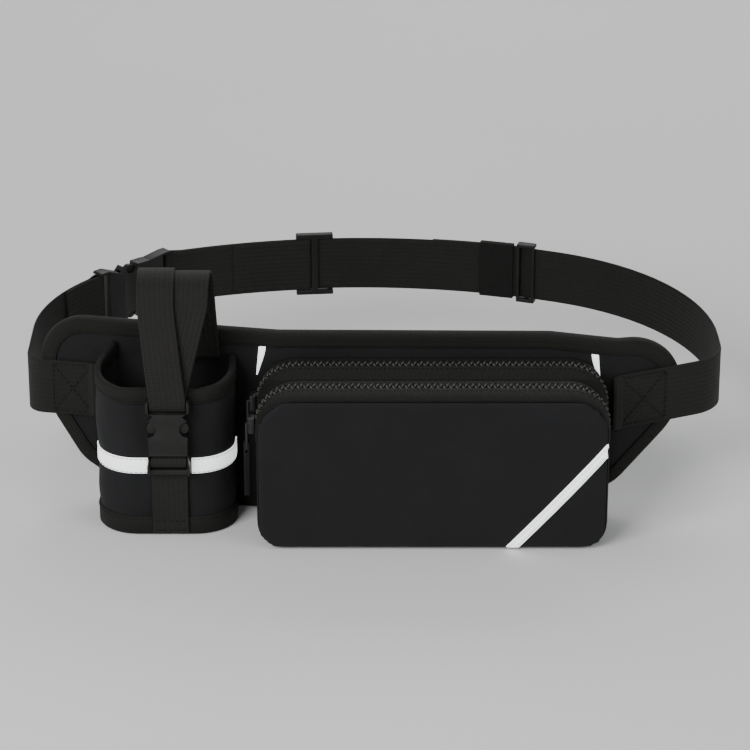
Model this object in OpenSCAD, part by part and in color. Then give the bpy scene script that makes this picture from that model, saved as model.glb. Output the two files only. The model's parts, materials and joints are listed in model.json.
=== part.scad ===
/* [Pouch] */
// Width of the two-pocket pouch
pouch_w = 224; // [210:1:230]
// Height of the pouch's front pocket
pouch_h = 106; // [102:1:108]
// How much higher the main pocket stands behind the front pocket
main_rise = 4; // [2:1:5]
// Thickness of the padded pouch fabric
pouch_wall = 3.5; // [3:0.5:4]
// Radius of the pouch's upper corners
pouch_top_r = 26; // [24:1:28]
// Radius of the pouch's lower corners
pouch_bottom_r = 16; // [12:1:20]

/* [Lumbar panel] */
// Height of the padded panel behind the pouch
panel_h = 126; // [124:1:128]
// Thickness of the padded panel
panel_t = 8; // [7:0.5:9]
// Angle at which the left wing bends back to the waist
left_bend = 10; // [9:0.5:11]
// Angle at which the right wing bends back to the waist
right_bend = 24; // [22:0.5:26]

/* [Bottle pocket] */
// Outside width of the bottle pocket
bottle_w = 88; // [84:1:90]
// Height of the bottle pocket's rim at the front
bottle_h = 102; // [98:1:104]
// Thickness of the bottle pocket's wall
bottle_wall = 2.5; // [2:0.5:3]
// Top of the strap that arches over the bottle
arch_h = 173; // [168:1:180]

/* [Webbing and buckles] */
// Width of the waist belt's webbing
belt_w = 38; // [38:1:39]
// Width of the bottle strap's webbing
strap_w = 25; // [24:1:25]
// Thickness of all webbing
web_t = 1.4; // [1.2:0.1:1.5]

/* [Hidden] */
$fn = 48;
hull_fn = 32;

// pouch, from its front face back to the panel
front_y = -150;
panel_y0 = -90;
edge_t = 0.8;
pouch_x0 = -75.5;
pouch_x1 = pouch_x0 + pouch_w;
pouch_back = panel_y0 - edge_t;
divider_y = front_y + 31;
divider_t = 2;
front_zip_y = front_y + 20;
main_zip_y = front_y + 46;
zip_low = 72;
slot_w = 7;
coil_w = 5;
tape_w = 16;
tape_t = 0.8;
coil_proud = 0.5;

// lumbar panel
bend_left_x = -62;
bend_right_x = 155;
panel_left_x = -216.5;
panel_right_x = 199;
wing_r = 30;
skin_t = 1.2;
binding_w = 10;

// bottle pocket
bottle_x = -134;
bottle_front = -126;
bottle_r = 26;
bottle_lean = 22;
bottle_base_t = 3;
rim_slope = 0.19;
rim_band = 10;
base_band = 13;
band_z = 44;
band_h = 10;

// zip sliders and their pulls
slider_z = pouch_h - pouch_top_r;
slider_l = 12;
slider_w = 8;
slider_gap = 0.3;
slider_t = 3.6;
pin_up = 0.5;
front_pull_l = 18;
front_tab_l = 50;
main_pull_l = 22;

// side-release buckles: the mouth, where the two halves meet, is the origin
strap_buckle = [strap_w, 35, 16, 8.6];
belt_buckle = [belt_w, 44, 20, 8.8];
buckle_gap = 0.2;
bar_w = 3.3;
bar_half = 1.8;
slot_l = 4.6;
tongue_l = 21;
cavity_half = 2.2;
prong_half = 1.8;
root_r = 1.5;
ear_r = 4.4;
notch_r = 5.4;

// waist belt, in plan
belt_z = 77;
rear_c = [-9.5, -212.6];
rear_r = 361;
rear_end = 22.56;
right_r = 157;
right_x = 226;
right_fold_r = 28;
left_c = [-96, -11];
left_r = 130;
left_start = 136.2;
left_fold_r = 12;
tab_off = edge_t + web_t / 2;
adjuster_a = -5.3;
keeper_a = 15.3;
tail_adjuster_a = 18.7;
tail_end_a = 8;
clear = 0.3;
loop_a = 8;
ply = web_t + 0.15;

// ---- plan of the panel ----

// front surface of the panel at a given x
function panel_y(x) =
    x < bend_left_x ? panel_y0 + (bend_left_x - x) * tan(left_bend)
    : x > bend_right_x ? panel_y0 + (x - bend_right_x) * tan(right_bend)
    : panel_y0;

// plan band between two distances behind the panel's front surface
module panel_band(near, far) {
    xs = [-260, bend_left_x, bend_right_x, 250];
    polygon(concat(
        [for (x = xs) [x, panel_y(x) + near]],
        [for (i = [3:-1:0]) [xs[i], panel_y(xs[i]) + far]]
    ));
}

// elevation of the panel, drawn in by inset; each corner is [x, z, radius]
module panel_outline(inset) {
    corners = concat(
        [[panel_left_x + wing_r, panel_h - wing_r, wing_r]],
        [[110, panel_h - 1.5 - wing_r, wing_r], [panel_right_x - 41, 78, 41]],
        [for (a = [-35, -50, -62]) [86 + 85 * cos(a), 111 + 85 * sin(a), wing_r]],
        [[118, 16, 16], [-148, 16, 16]],
        [for (a = [220, 200]) [-115 + 71 * cos(a), 93 + 71 * sin(a), wing_r]]
    );
    hull() for (c = corners) translate([c[0], c[1]]) circle(r = c[2] - inset, $fn = hull_fn);
}

module panel_layer(near, far, inset) {
    intersection() {
        linear_extrude(panel_h) panel_band(near, far);
        rotate([90, 0, 0]) linear_extrude(300, center = true) panel_outline(inset);
    }
}

// everything behind the bound edge of the panel, to trim what is sewn to it
module panel_space() {
    translate([0, 0, -1]) linear_extrude(panel_h + 20) panel_band(-edge_t, 150);
}

// ---- pouch ----

module pouch_outline(inset, rise) {
    rt = pouch_top_r;
    rb = pouch_bottom_r;
    hull() {
        for (x = [pouch_x0 + rt, pouch_x1 - rt]) translate([x, pouch_h + rise - rt]) circle(r = rt - inset);
        for (x = [pouch_x0 + rb, pouch_x1 - rb]) translate([x, rb]) circle(r = rb - inset);
    }
}

// a plate or ring of the pouch's outline from y0 back to y1
module pouch_slice(y0, y1, outer, rise = 0) {
    translate([0, y1, 0]) rotate([90, 0, 0]) linear_extrude(y1 - y0) pouch_outline(outer, rise);
}

// the arched run of a zip over the top and down both sides
module zip_run(y, w, outer, inner, low, rise) {
    intersection() {
        difference() {
            pouch_slice(y - w / 2, y + w / 2, outer, rise);
            pouch_slice(y - w, y + w, inner, rise);
        }
        translate([pouch_x0 - 5, y - w, low]) cube([pouch_w + 10, 2 * w, pouch_h]);
    }
}

module pocket_gusset(y0, y1, zip_y, rise) {
    difference() {
        pouch_slice(y0, y1, 0, rise);
        pouch_slice(y0 - 1, y1 + 1, pouch_wall, rise);
        zip_run(zip_y, slot_w, -1, pouch_wall + 1, zip_low + rise, rise);
    }
}

module zip_tape(y, rise) {
    zip_run(y, tape_w, pouch_wall, pouch_wall + tape_t, zip_low + rise - 5, rise);
}

module zip_coil(y, rise) {
    zip_run(y, coil_w, -coil_proud, pouch_wall, zip_low + rise + 1, rise);
}

// slider body with the bail that holds the pull's pin
module zip_slider(y, rise) {
    face = pouch_x0 - coil_proud - slider_gap;
    translate([face - slider_t / 2, y, slider_z + rise]) {
        difference() {
            hull() {
                translate([0, 0, -3]) cube([slider_t, slider_w - 3, slider_l - 6], center = true);
                translate([0, 0, 3]) cube([slider_t, slider_w, 4], center = true);
            }
            translate([0, 0, pin_up + 0.4]) cube([20, 3.4, 4.2], center = true);
        }
        translate([0, 0, pin_up]) rotate([90, 0, 0]) cylinder(r = 0.7, h = 3.8, center = true);
    }
}

pull_pin = [pouch_x0 - coil_proud - slider_gap - slider_t / 2, slider_z + pin_up];

// plate that hangs from the slider's pin by an arm with an eye
module zip_pull(y, l, rise) {
    x = pull_pin[0] - slider_t / 2 - 1.5;
    translate([0, y, rise]) {
        difference() {
            hull() {
                translate([x, 0, pull_pin[1] - 1.2]) cube([1.4, 3, 3], center = true);
                translate([x, 0, pull_pin[1] - l + 3]) cube([1.4, 4.4, 6], center = true);
            }
            translate([x, 0, pull_pin[1] - l + 4]) cube([4, 2.2, 2.4], center = true);
        }
        difference() {
            union() {
                translate([(x + pull_pin[0]) / 2, 0, pull_pin[1]])
                    cube([pull_pin[0] - x, 2.6, 1.4], center = true);
                translate([pull_pin[0], 0, pull_pin[1]]) rotate([90, 0, 0])
                    cylinder(r = 1.5, h = 2.6, center = true);
            }
            translate([pull_pin[0], 0, pull_pin[1]]) rotate([90, 0, 0])
                cylinder(r = 1, h = 10, center = true);
        }
    }
}

// ---- bottle pocket ----

// plan of the pocket, whose left side leans in towards the panel
module bottle_section(inset) {
    flat = bottle_w / 2 - bottle_r;
    mid = bottle_front + bottle_r;
    hull() for (c = [[-flat, 0], [flat, 0], [flat, 60], [bottle_lean - flat, 60]])
        translate([bottle_x + c[0], mid + c[1]]) circle(r = bottle_r - inset, $fn = 64);
}

module bottle_tube(outer, inner, z0, z1) {
    difference() {
        translate([0, 0, z0]) linear_extrude(z1 - z0) bottle_section(outer);
        translate([0, 0, z0 - 1]) linear_extrude(z1 - z0 + 2) bottle_section(inner);
        panel_space();
    }
}

// everything above the sloping rim, raised by lift
module above_rim(lift) {
    translate([bottle_x - 60, bottle_front, bottle_h + lift]) rotate([atan(rim_slope), 0, 0])
        translate([0, -60, 0]) cube([120, 160, 80]);
}

// ---- side-release buckle: x across the webbing, z along it, y through it ----

module mirror_both() {
    children();
    mirror([1, 0, 0]) children();
}

// outline symmetric about x = 0 from the points of its right half
function both_sides(p) = concat(p, [for (i = [len(p) - 1:-1:0]) [-p[i][0], p[i][1]]]);

function buckle_half(b) = b[0] / 2 + 2.2;

// thins a webbing bar on both faces, so that the webbing lies inside the frame
module bar_relief(b, z) {
    for (s = [-1, 1]) translate([0, s * (bar_half + 5), z]) cube([b[0] + 1, 10, 12], center = true);
}

module buckle_socket(b) {
    hw = buckle_half(b);
    l = b[1];
    difference() {
        rotate([90, 0, 0]) linear_extrude(b[3], center = true)
            polygon(both_sides([[hw - 1.6, buckle_gap], [hw - 1.2, 11], [hw - 1.4, 22],
                [hw - 4.8, 25.5], [hw, l - 7], [hw, l - 1], [hw - 1, l]]));
        translate([0, 0, 12]) cube([2 * hw - 7.6, 2 * cavity_half, 28], center = true);
        mirror_both() translate([hw - 1.4, 0, 16.5]) rotate([90, 0, 0])
            cylinder(r = notch_r, h = 20, center = true);
        translate([0, 0, l - bar_w - slot_l / 2]) cube([b[0] + 1, 20, slot_l], center = true);
        bar_relief(b, l - 2);
    }
}

module buckle_plug(b) {
    hw = buckle_half(b);
    p = b[2];
    difference() {
        rotate([90, 0, 0]) linear_extrude(b[3] - 0.5, center = true)
            polygon(both_sides([[hw - 1.8, 0], [hw - 1, -7], [hw, -p + 6], [hw, -p + 1], [hw - 1, -p]]));
        translate([0, 0, -p + bar_w + slot_l / 2]) cube([b[0] + 1, 20, slot_l], center = true);
        bar_relief(b, -p + 2);
    }
    translate([-2, -prong_half, -1]) cube([4, 2 * prong_half, tongue_l + 1]);
}

// one springy prong, on the +x side, with its ear in the socket's notch
module buckle_prong(b) {
    hw = buckle_half(b);
    x = hw - 7.8;
    rotate([90, 0, 0]) linear_extrude(2 * prong_half, center = true) {
        translate([x, root_r]) circle(r = root_r);
        polygon([[x - 1.5, root_r], [x + 1.5, root_r], [x + 1.9, 14], [x + 1.6, 20],
            [x - 1.8, 23.5], [x - 2.6, 20]]);
        translate([hw - 5.8, 16.5]) circle(r = ear_r);
    }
}

strap_mouth = [-131, bottle_front - web_t - 0.3 - strap_buckle[3] / 2, 62];

module at_strap_buckle() {
    translate(strap_mouth) children();
}

// the belt buckle lies on the straight between the left arc and the rear arc
belt_dir = 90 - (left_start - 90);
socket_bar = left_c + left_r * [cos(left_start), sin(left_start)];
belt_along = [cos(belt_dir), sin(belt_dir)];
belt_out = [-sin(belt_dir), cos(belt_dir)];
belt_mouth = socket_bar + (belt_buckle[1] - bar_w / 2) * belt_along;
plug_bar = belt_mouth + (belt_buckle[2] - bar_w / 2) * belt_along;

// local +z runs along the belt towards the socket's bar, local x is up
module at_belt_buckle() {
    translate([belt_mouth[0], belt_mouth[1], belt_z]) rotate([0, 0, belt_dir + 180])
        rotate([0, 90, 0]) rotate([0, 0, 180]) children();
}

// ---- webbing ----

// unit normal to the left of a plan path at point i
function path_normal(p, i) =
    let (a = p[max(i - 1, 0)], c = p[min(i + 1, len(p) - 1)], d = c - a)
    [-d[1], d[0]] / norm(d);

// upright ribbon of webbing along a plan path
module ribbon(path, thick = web_t, z = belt_z, width = belt_w) {
    n = len(path) - 1;
    translate([0, 0, z - width / 2]) linear_extrude(width) polygon(concat(
        [for (i = [0:n]) path[i] + path_normal(path, i) * thick / 2],
        [for (i = [n:-1:0]) path[i] - path_normal(path, i) * thick / 2]
    ));
}

function arc(c, r, a0, a1, n) = [for (i = [0:n]) let (a = a0 + (a1 - a0) * i / n) c + r * [cos(a), sin(a)]];

// point on the rear arc: a is measured from straight back, positive to the right
function rear_point(a, r = rear_r) = rear_c + r * [sin(a), cos(a)];

module on_rear_arc(a) {
    translate([rear_c[0], rear_c[1], belt_z]) rotate([0, 0, -a]) translate([0, rear_r, 0]) children();
}

// a smooth step from 0 to 1 as x goes from a to b
function smooth(x, a, b) = let (t = min(1, max(0, (x - a) / (b - a)))) t * t * (3 - 2 * t);

right_c = rear_point(rear_end) - right_r * [sin(rear_end), cos(rear_end)];
right_fold_x = right_x - right_fold_r;
right_tab = [right_fold_x + right_fold_r * sin(right_bend), 0];
right_tab_y = panel_y(right_tab[0]) - tab_off / cos(right_bend);
right_fold_c = [right_fold_x, right_tab_y + right_fold_r * cos(right_bend)];
right_tab_end = 155.5;

left_fold_x = left_c[0] - left_r + left_fold_r;
left_tab_x = left_fold_x - left_fold_r * sin(left_bend);
left_tab_y = panel_y(left_tab_x) - tab_off / cos(left_bend);
left_fold_c = [left_fold_x, left_tab_y + left_fold_r * cos(left_bend)];
left_tab_end = -182;

// three-bar slide: the centre bar lies on one side of the webbing, the end bars on the other
module slide_adjuster(half_l, bar, rail, end_y, centre_y) {
    rail_z = belt_w / 2 + 0.4;
    depth = abs(end_y) + abs(centre_y) + 1.6;
    for (s = [-1, 1]) {
        translate([-half_l, min(end_y, centre_y) - 0.8, s > 0 ? rail_z : -rail_z - rail])
            cube([2 * half_l, depth, rail]);
        translate([s * (half_l - bar / 2), end_y, 0]) cube([bar, 1.6, 2 * rail_z + 1], center = true);
    }
    translate([0, centre_y, 0]) cube([bar + 1, 1.6, 2 * rail_z + 1], center = true);
}

// plan path of webbing that turns back round a bar: u points to the slot, n to the first side
function round_bar(c, u, n, h = bar_half + 0.1 + web_t / 2) = [
    c - 3 * u + h * n, c + 1.8 * u + h * n, c + 3.2 * u + 1.2 * n,
    c + 3.2 * u - 1.2 * n, c + 1.8 * u - h * n, c - 3 * u - h * n
];

// strap over the bottle: ring of four points at each station [x, y, z]
function station_normal(p, i) =
    let (a = p[max(i - 1, 0)], c = p[min(i + 1, len(p) - 1)], d = [0, c[1] - a[1], c[2] - a[2]])
    [0, -d[2], d[1]] / norm(d);

module draped_strap(path, width = strap_w, thick = web_t) {
    n = len(path);
    across = [width / 2, 0, 0];
    points = [for (i = [0:n - 1]) let (q = station_normal(path, i) * thick / 2)
        each [path[i] - across - q, path[i] + across - q, path[i] + across + q, path[i] - across + q]];
    sides = [for (i = [0:n - 2], k = [0:3])
        let (a = 4 * i + k, b = 4 * i + (k + 1) % 4) each [[a, b, b + 4], [a, b + 4, a + 4]]];
    polyhedron(points, concat([[3, 2, 1, 0]], sides, [[for (k = [0:3]) 4 * n - 4 + k]]));
}

// path over the bottle from the socket's bar to the panel, where it is sewn on;
// x runs from x0 at the bar to x_top over the arch and x1 at the panel, and drop lowers the arch
arch_y = -99;
arch_half = 18;
bar_z = strap_mouth[2] + strap_buckle[1] - bar_w - slot_l / 2;
sewn_z = 106;
function strap_path(front_y, half, drop, x0, x_top, x1) =
    let (
        spring = arch_h - 20,
        low = bar_z + 7,
        rise = arch_h - drop - web_t / 2 - spring,
        sewn_y = panel_y(x1 + strap_w / 2) - edge_t - web_t / 2 - 0.2,
        n = 12
    )
    concat(
        [[x0, front_y, bar_z], [x0, front_y, low]],
        [for (i = [1:4]) let (t = i / 5)
            [x0 + (x_top - x0) * t, front_y + (arch_y - half - front_y) * smooth(t, 0, 1.25),
                low + (spring - low) * t]],
        [for (i = [0:n]) let (a = 180 - 180 * i / n)
            [x_top + (x1 - x_top) * 0.5 * i / n, arch_y + half * cos(a), spring + rise * sin(a)]],
        [for (i = [1:6]) let (t = i / 6)
            [x_top + (x1 - x_top) * (0.5 + 0.5 * t),
                arch_y + half + (sewn_y - arch_y - half) * smooth(t, 0, 0.5),
                spring + (sewn_z - spring) * t]]
    );

// ---- lumbar panel ----

module panel_front_fabric() { color("#202021") panel_layer(0, skin_t, edge_t); }

module panel_foam() { color("#2a2a2a") panel_layer(skin_t, panel_t - skin_t, edge_t); }

module panel_back_mesh() { color("#181818") panel_layer(panel_t - skin_t, panel_t, edge_t); }

// tape folded over the panel's edge, all the way round
module panel_binding() {
    color("#26261f") difference() {
        panel_layer(-edge_t, panel_t + edge_t, 0);
        panel_layer(-edge_t - 1, panel_t + edge_t + 1, binding_w);
        panel_layer(0, panel_t, edge_t);
    }
}

// ---- pouch and zips ----

module pouch_front_panel() { color("#222223") pouch_slice(front_y, front_y + pouch_wall, 0); }

module front_pocket_gusset() {
    color("#1e1e1f") pocket_gusset(front_y + pouch_wall, divider_y, front_zip_y, 0);
}

module pocket_divider() {
    color("#1a1a1a") pouch_slice(divider_y, divider_y + divider_t, 0, main_rise);
}

module main_pocket_gusset() {
    color("#1e1e1f") pocket_gusset(divider_y + divider_t, pouch_back, main_zip_y, main_rise);
}

module front_zip_tape() { color("#26261f") zip_tape(front_zip_y, 0); }

module main_zip_tape() { color("#26261f") zip_tape(main_zip_y, main_rise); }

module front_zip_coil() { color("#4a4a42") zip_coil(front_zip_y, 0); }

module main_zip_coil() { color("#4a4a42") zip_coil(main_zip_y, main_rise); }

module front_zip_slider() { color("#303030") zip_slider(front_zip_y, 0); }

module main_zip_slider() { color("#303030") zip_slider(main_zip_y, main_rise); }

module front_zip_pull() { color("#303030") zip_pull(front_zip_y, front_pull_l, 0); }

module main_zip_pull() { color("#303030") zip_pull(main_zip_y, main_pull_l, main_rise); }

// flat tab, doubled and sewn through the front pull's eye
module front_pull_tab() {
    x = pull_pin[0] - slider_t / 2 - 1.5;
    low = pull_pin[1] - front_tab_l;
    eye_z = pull_pin[1] - front_pull_l + 4;
    color("#1c1c1a") translate([x, front_zip_y, 0]) {
        for (s = [-1, 1]) translate([s * 1.3, 0, (low + eye_z + 1) / 2])
            cube([1.2, 3.8, eye_z + 1 - low], center = true);
        translate([0, 0, eye_z]) cube([2, 1.8, 1.6], center = true);
        translate([0, 0, (low + eye_z - 6) / 2]) cube([2, 3.8, eye_z - 6 - low], center = true);
    }
}

// ---- reflective trim ----

module reflective_diagonal() {
    color("white") intersection() {
        pouch_slice(front_y - 0.6, front_y, 0);
        translate([80, front_y, -6]) rotate([0, -49, 0]) translate([0, -0.6, -2.8]) cube([130, 0.6, 5.6]);
    }
}

// wedge that stands on its outer tip at x, z; side points inwards
module reflective_flash(x, z, side) {
    translate([x, panel_y0, z]) rotate([90, 0, 0]) linear_extrude(0.6)
        polygon([[0, 0], [1.5 * side, 20], [4 * side, 20.5], [5.8 * side, 18.5], [side, 0]]);
}

module reflective_flash_left() { color("white") reflective_flash(-76.2, 95, 1); }

module reflective_flash_right() { color("white") reflective_flash(145, 90, -1); }

// ---- bottle pocket ----

module bottle_pocket_wall() {
    color("#1f1f20") difference() {
        bottle_tube(0, bottle_wall, bottle_base_t, bottle_h + 20);
        above_rim(-edge_t);
    }
}

module bottle_pocket_base() {
    color("#1c1c1c") difference() {
        linear_extrude(bottle_base_t) bottle_section(0);
        panel_space();
    }
}

// tape folded over the pocket's rim
module bottle_rim_binding() {
    color("#26261f") difference() {
        bottle_tube(-edge_t, bottle_wall + edge_t, bottle_h - rim_band - 2, bottle_h + 20);
        above_rim(0);
        translate([bottle_x - 60, bottle_front, bottle_h - rim_band]) rotate([atan(rim_slope), 0, 0])
            translate([0, -60, -80]) cube([120, 160, 80]);
        bottle_pocket_wall();
    }
}

module bottle_base_binding() { color("#26261f") bottle_tube(-edge_t, 0, 0, base_band); }

// reflective tape round the pocket, interrupted by the strip under the buckle
module bottle_reflective_band() {
    color("white") difference() {
        bottle_tube(-0.6, 0, band_z, band_z + band_h);
        translate([strap_mouth[0] - strap_w / 2 - 0.5, bottle_front - 5, 0])
            cube([strap_w + 1, 10, bottle_h]);
        translate([bottle_x - 60, panel_y(bottle_x) - 14, 0]) cube([120, 40, bottle_h]);
    }
}

// webbing strip up the pocket's front, folded through the plug's slot
module bottle_front_strip() {
    x = strap_mouth[0] - strap_w / 2;
    bar_low = strap_mouth[2] - strap_buckle[2];
    color("#2a2a24") {
        translate([x, bottle_front - web_t, base_band]) cube([strap_w, web_t, bar_low + 9 - base_band]);
        translate([x, bottle_front - edge_t - web_t, 2]) cube([strap_w, web_t, base_band + 1]);
        translate([x, bottle_front - 6, bar_low + 6]) cube([strap_w, 6 - web_t, web_t]);
    }
}

module bottle_plug() { color("#2c2c2a") at_strap_buckle() buckle_plug(strap_buckle); }

module bottle_prong_right() { color("#2c2c2a") at_strap_buckle() buckle_prong(strap_buckle); }

module bottle_prong_left() {
    color("#2c2c2a") at_strap_buckle() mirror([1, 0, 0]) buckle_prong(strap_buckle);
}

module bottle_socket() { color("#2c2c2a") at_strap_buckle() buckle_socket(strap_buckle); }

module bottle_strap_left() {
    y = strap_mouth[1] - bar_half - web_t / 2 - 0.1;
    color("#2a2a24") draped_strap(strap_path(y, arch_half, 0, strap_mouth[0], -138, -138));
}

module bottle_strap_right() {
    y = strap_mouth[1] + bar_half + web_t / 2 + 0.1;
    color("#2a2a24") draped_strap(strap_path(y, arch_half - 2.5, ply, strap_mouth[0], -117, -111));
}

// ---- waist belt ----

// from its tab on the left wing, round the wing's end and back to the socket
module belt_left_webbing() {
    color("#2a2a24") ribbon(concat(
        [[left_tab_end, panel_y(left_tab_end) - tab_off / cos(left_bend)]],
        arc(left_fold_c, left_fold_r, 270 - left_bend, 180, 8),
        arc(left_c, left_r, 180, left_start + 4, 12),
        round_bar(socket_bar, belt_along, belt_out),
        arc(left_c, left_r - ply, left_start + 4, left_start + 16, 4)
    ));
}

module belt_socket() { color("#2c2c2a") at_belt_buckle() buckle_socket(belt_buckle); }

module belt_plug() { color("#2c2c2a") at_belt_buckle() buckle_plug(belt_buckle); }

module belt_prong_upper() { color("#2c2c2a") at_belt_buckle() buckle_prong(belt_buckle); }

module belt_prong_lower() {
    color("#2c2c2a") at_belt_buckle() mirror([1, 0, 0]) buckle_prong(belt_buckle);
}

// the belt turned back round the plug's bar: outer layer, bar, inner layer
module belt_plug_loop() {
    near = [for (a = [loop_a:-1:2]) a - rear_end];
    color("#2a2a24") ribbon(concat(
        [for (a = near) rear_point(a)],
        round_bar(plug_bar, -belt_along, belt_out),
        [for (i = [len(near) - 1:-1:0]) rear_point(near[i], rear_r - ply)]
    ));
}

// from the plug's loop round the back to the tail adjuster
module belt_rear_webbing() {
    color("#2a2a24") ribbon([for (a = [loop_a - rear_end:1.25:18.1]) rear_point(a)]);
}

// the belt's return layer, from the plug's loop to the adjuster's centre bar
module belt_fold_layer() {
    inner = rear_r - ply;
    end_a = adjuster_a - 0.45;
    start_a = loop_a - rear_end;
    color("#25251f") ribbon([for (i = [0:8]) rear_point(start_a + (end_a - start_a) * i / 8, inner)]);
}

module belt_adjuster() { color("#2c2c2a") on_rear_arc(adjuster_a) slide_adjuster(13, 3.6, 3.4, 1.8, -1.8); }

module belt_tail_adjuster() {
    color("#2c2c2a") on_rear_arc(tail_adjuster_a) slide_adjuster(6.5, 2, 2.4, -1.8, 2.9);
}

// sleeve that holds the belt's tail flat against the rear webbing
module belt_keeper() {
    wall = 1.2;
    inner = [60, 2 * web_t + 4 * clear, belt_w + 2 * clear];
    color("#1b1b18") on_rear_arc(keeper_a) translate([0, web_t / 2, 0]) difference() {
        cube([24, inner[1] + 2 * wall, inner[2] + 2 * wall], center = true);
        cube(inner, center = true);
    }
}

// from its free tail, through the tail adjuster and round to the right wing's tab
module belt_right_webbing() {
    tail_r = rear_r + ply;
    color("#2a2a24") ribbon(concat(
        [for (a = [tail_end_a:1.25:17.5]) rear_point(a, tail_r)],
        [for (a = [18.4:0.4:19.6]) rear_point(a, rear_r + ply * (1 - smooth(a, 18.2, 19.4)))],
        arc(right_c, right_r, 90 - rear_end, 0, 16),
        arc(right_fold_c, right_fold_r, 0, right_bend - 90, 10),
        [[right_tab_end, panel_y(right_tab_end) - tab_off / cos(right_bend)]]
    ));
}

panel_front_fabric();
panel_foam();
panel_back_mesh();
panel_binding();
pouch_front_panel();
front_pocket_gusset();
pocket_divider();
main_pocket_gusset();
front_zip_tape();
front_zip_coil();
main_zip_tape();
main_zip_coil();
front_zip_slider();
main_zip_slider();
front_zip_pull();
main_zip_pull();
front_pull_tab();
reflective_diagonal();
reflective_flash_left();
reflective_flash_right();
bottle_pocket_wall();
bottle_pocket_base();
bottle_rim_binding();
bottle_base_binding();
bottle_reflective_band();
bottle_front_strip();
bottle_plug();
bottle_prong_left();
bottle_prong_right();
bottle_socket();
bottle_strap_left();
bottle_strap_right();
belt_left_webbing();
belt_socket();
belt_plug();
belt_prong_upper();
belt_prong_lower();
belt_plug_loop();
belt_rear_webbing();
belt_fold_layer();
belt_adjuster();
belt_keeper();
belt_tail_adjuster();
belt_right_webbing();
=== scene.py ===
import json
import math

import bmesh
import bpy
import numpy as np
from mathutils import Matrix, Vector
from mathutils.bvhtree import BVHTree


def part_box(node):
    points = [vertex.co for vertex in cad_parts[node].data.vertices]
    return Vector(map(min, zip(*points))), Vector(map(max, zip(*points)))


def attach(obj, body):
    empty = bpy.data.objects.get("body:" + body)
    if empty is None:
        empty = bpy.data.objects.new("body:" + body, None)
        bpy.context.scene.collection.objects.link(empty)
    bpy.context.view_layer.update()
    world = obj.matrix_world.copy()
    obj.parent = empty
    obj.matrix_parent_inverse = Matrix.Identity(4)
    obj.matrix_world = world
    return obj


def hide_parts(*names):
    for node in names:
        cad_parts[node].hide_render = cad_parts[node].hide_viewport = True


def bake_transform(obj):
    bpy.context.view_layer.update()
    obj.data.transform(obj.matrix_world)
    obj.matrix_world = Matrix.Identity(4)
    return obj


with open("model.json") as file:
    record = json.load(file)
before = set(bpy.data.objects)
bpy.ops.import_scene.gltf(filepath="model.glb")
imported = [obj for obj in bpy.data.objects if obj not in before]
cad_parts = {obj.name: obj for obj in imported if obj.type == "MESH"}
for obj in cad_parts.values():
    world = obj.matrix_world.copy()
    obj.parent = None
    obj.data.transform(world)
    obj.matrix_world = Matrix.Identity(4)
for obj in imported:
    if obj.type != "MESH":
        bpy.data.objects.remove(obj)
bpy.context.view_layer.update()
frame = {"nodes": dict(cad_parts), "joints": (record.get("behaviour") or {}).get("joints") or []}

MM = 0.001
AXES = np.eye(3)


# ---- sizes, in millimetres, from the frame and from the bag's own pattern ----

def corners(node):
    """Lowest and highest corner of a CAD node in millimetres."""
    lowest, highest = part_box(node)
    return np.array(lowest) / MM, np.array(highest) / MM


def joint_at(name):
    """Place of a joint in millimetres."""
    found = next(j for j in frame["joints"] if j["name"] == name)
    return np.array(found["pos_m"]) / MM


def middle(node, axis):
    """Middle of a CAD node along an axis in millimetres."""
    return sum(corner[axis] for corner in corners(node)) / 2


# pouch: y runs from its front back to the panel
pouch_low, pouch_high = corners("pouch_front_panel")
POUCH_X0, POUCH_X1 = pouch_low[0], pouch_high[0]
POUCH_H = pouch_high[2]
POUCH_TOP_R = 26
POUCH_BOTTOM_R = 16
FRONT_Y = pouch_low[1]
SEAM_FRONT = FRONT_Y + 3.6
DIVIDER_Y = middle("pocket_divider", 1)
POUCH_BACK = corners("main_pocket_gusset")[1][1]
FRONT_ZIP_Y = middle("front_zip_coil", 1)
MAIN_ZIP_Y = middle("main_zip_coil", 1)
ZIP_LOW = corners("front_zip_coil")[0][2]
COIL_HALF = 3.0
SLOT_HALF = COIL_HALF + 0.2
TOOTH_PITCH = 4.0
MAIN_RISE = corners("main_pocket_gusset")[1][2] - POUCH_H
SEAM_INSET = 1.5
SEAM_DROP = 1.4
SEAM_DROP_FROM, SEAM_DROP_TO = 84, 105

# lumbar panel: its wings bend back from the x in BEND, at the slope beside it
PANEL_Y = -90.0
PANEL_T = 8
PANEL_X0, PANEL_X1, PANEL_H = -216.5, 199.0, 126.0
WING_R = 30
BEND_LEFT = (-62.0, math.tan(math.radians(10)))
BEND_RIGHT = (155.0, math.tan(math.radians(24)))
BINDING_W = 10


def wing_rounds(centre, radius, angles):
    """Corner circles of a wing's long lower curve."""
    x, z = centre
    return [(x + radius * math.cos(math.radians(a)), z + radius * math.sin(math.radians(a)), WING_R)
            for a in angles]


PANEL_CORNERS = [
    (PANEL_X0 + WING_R, PANEL_H - WING_R, WING_R), (110, PANEL_H - 1.5 - WING_R, WING_R),
    (PANEL_X1 - 41, 78, 41), *wing_rounds((86, 111), 85, (-35, -50, -62)), (118, 16, 16), (-148, 16, 16),
    *wing_rounds((-115, 93), 71, (220, 200)),
]

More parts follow.
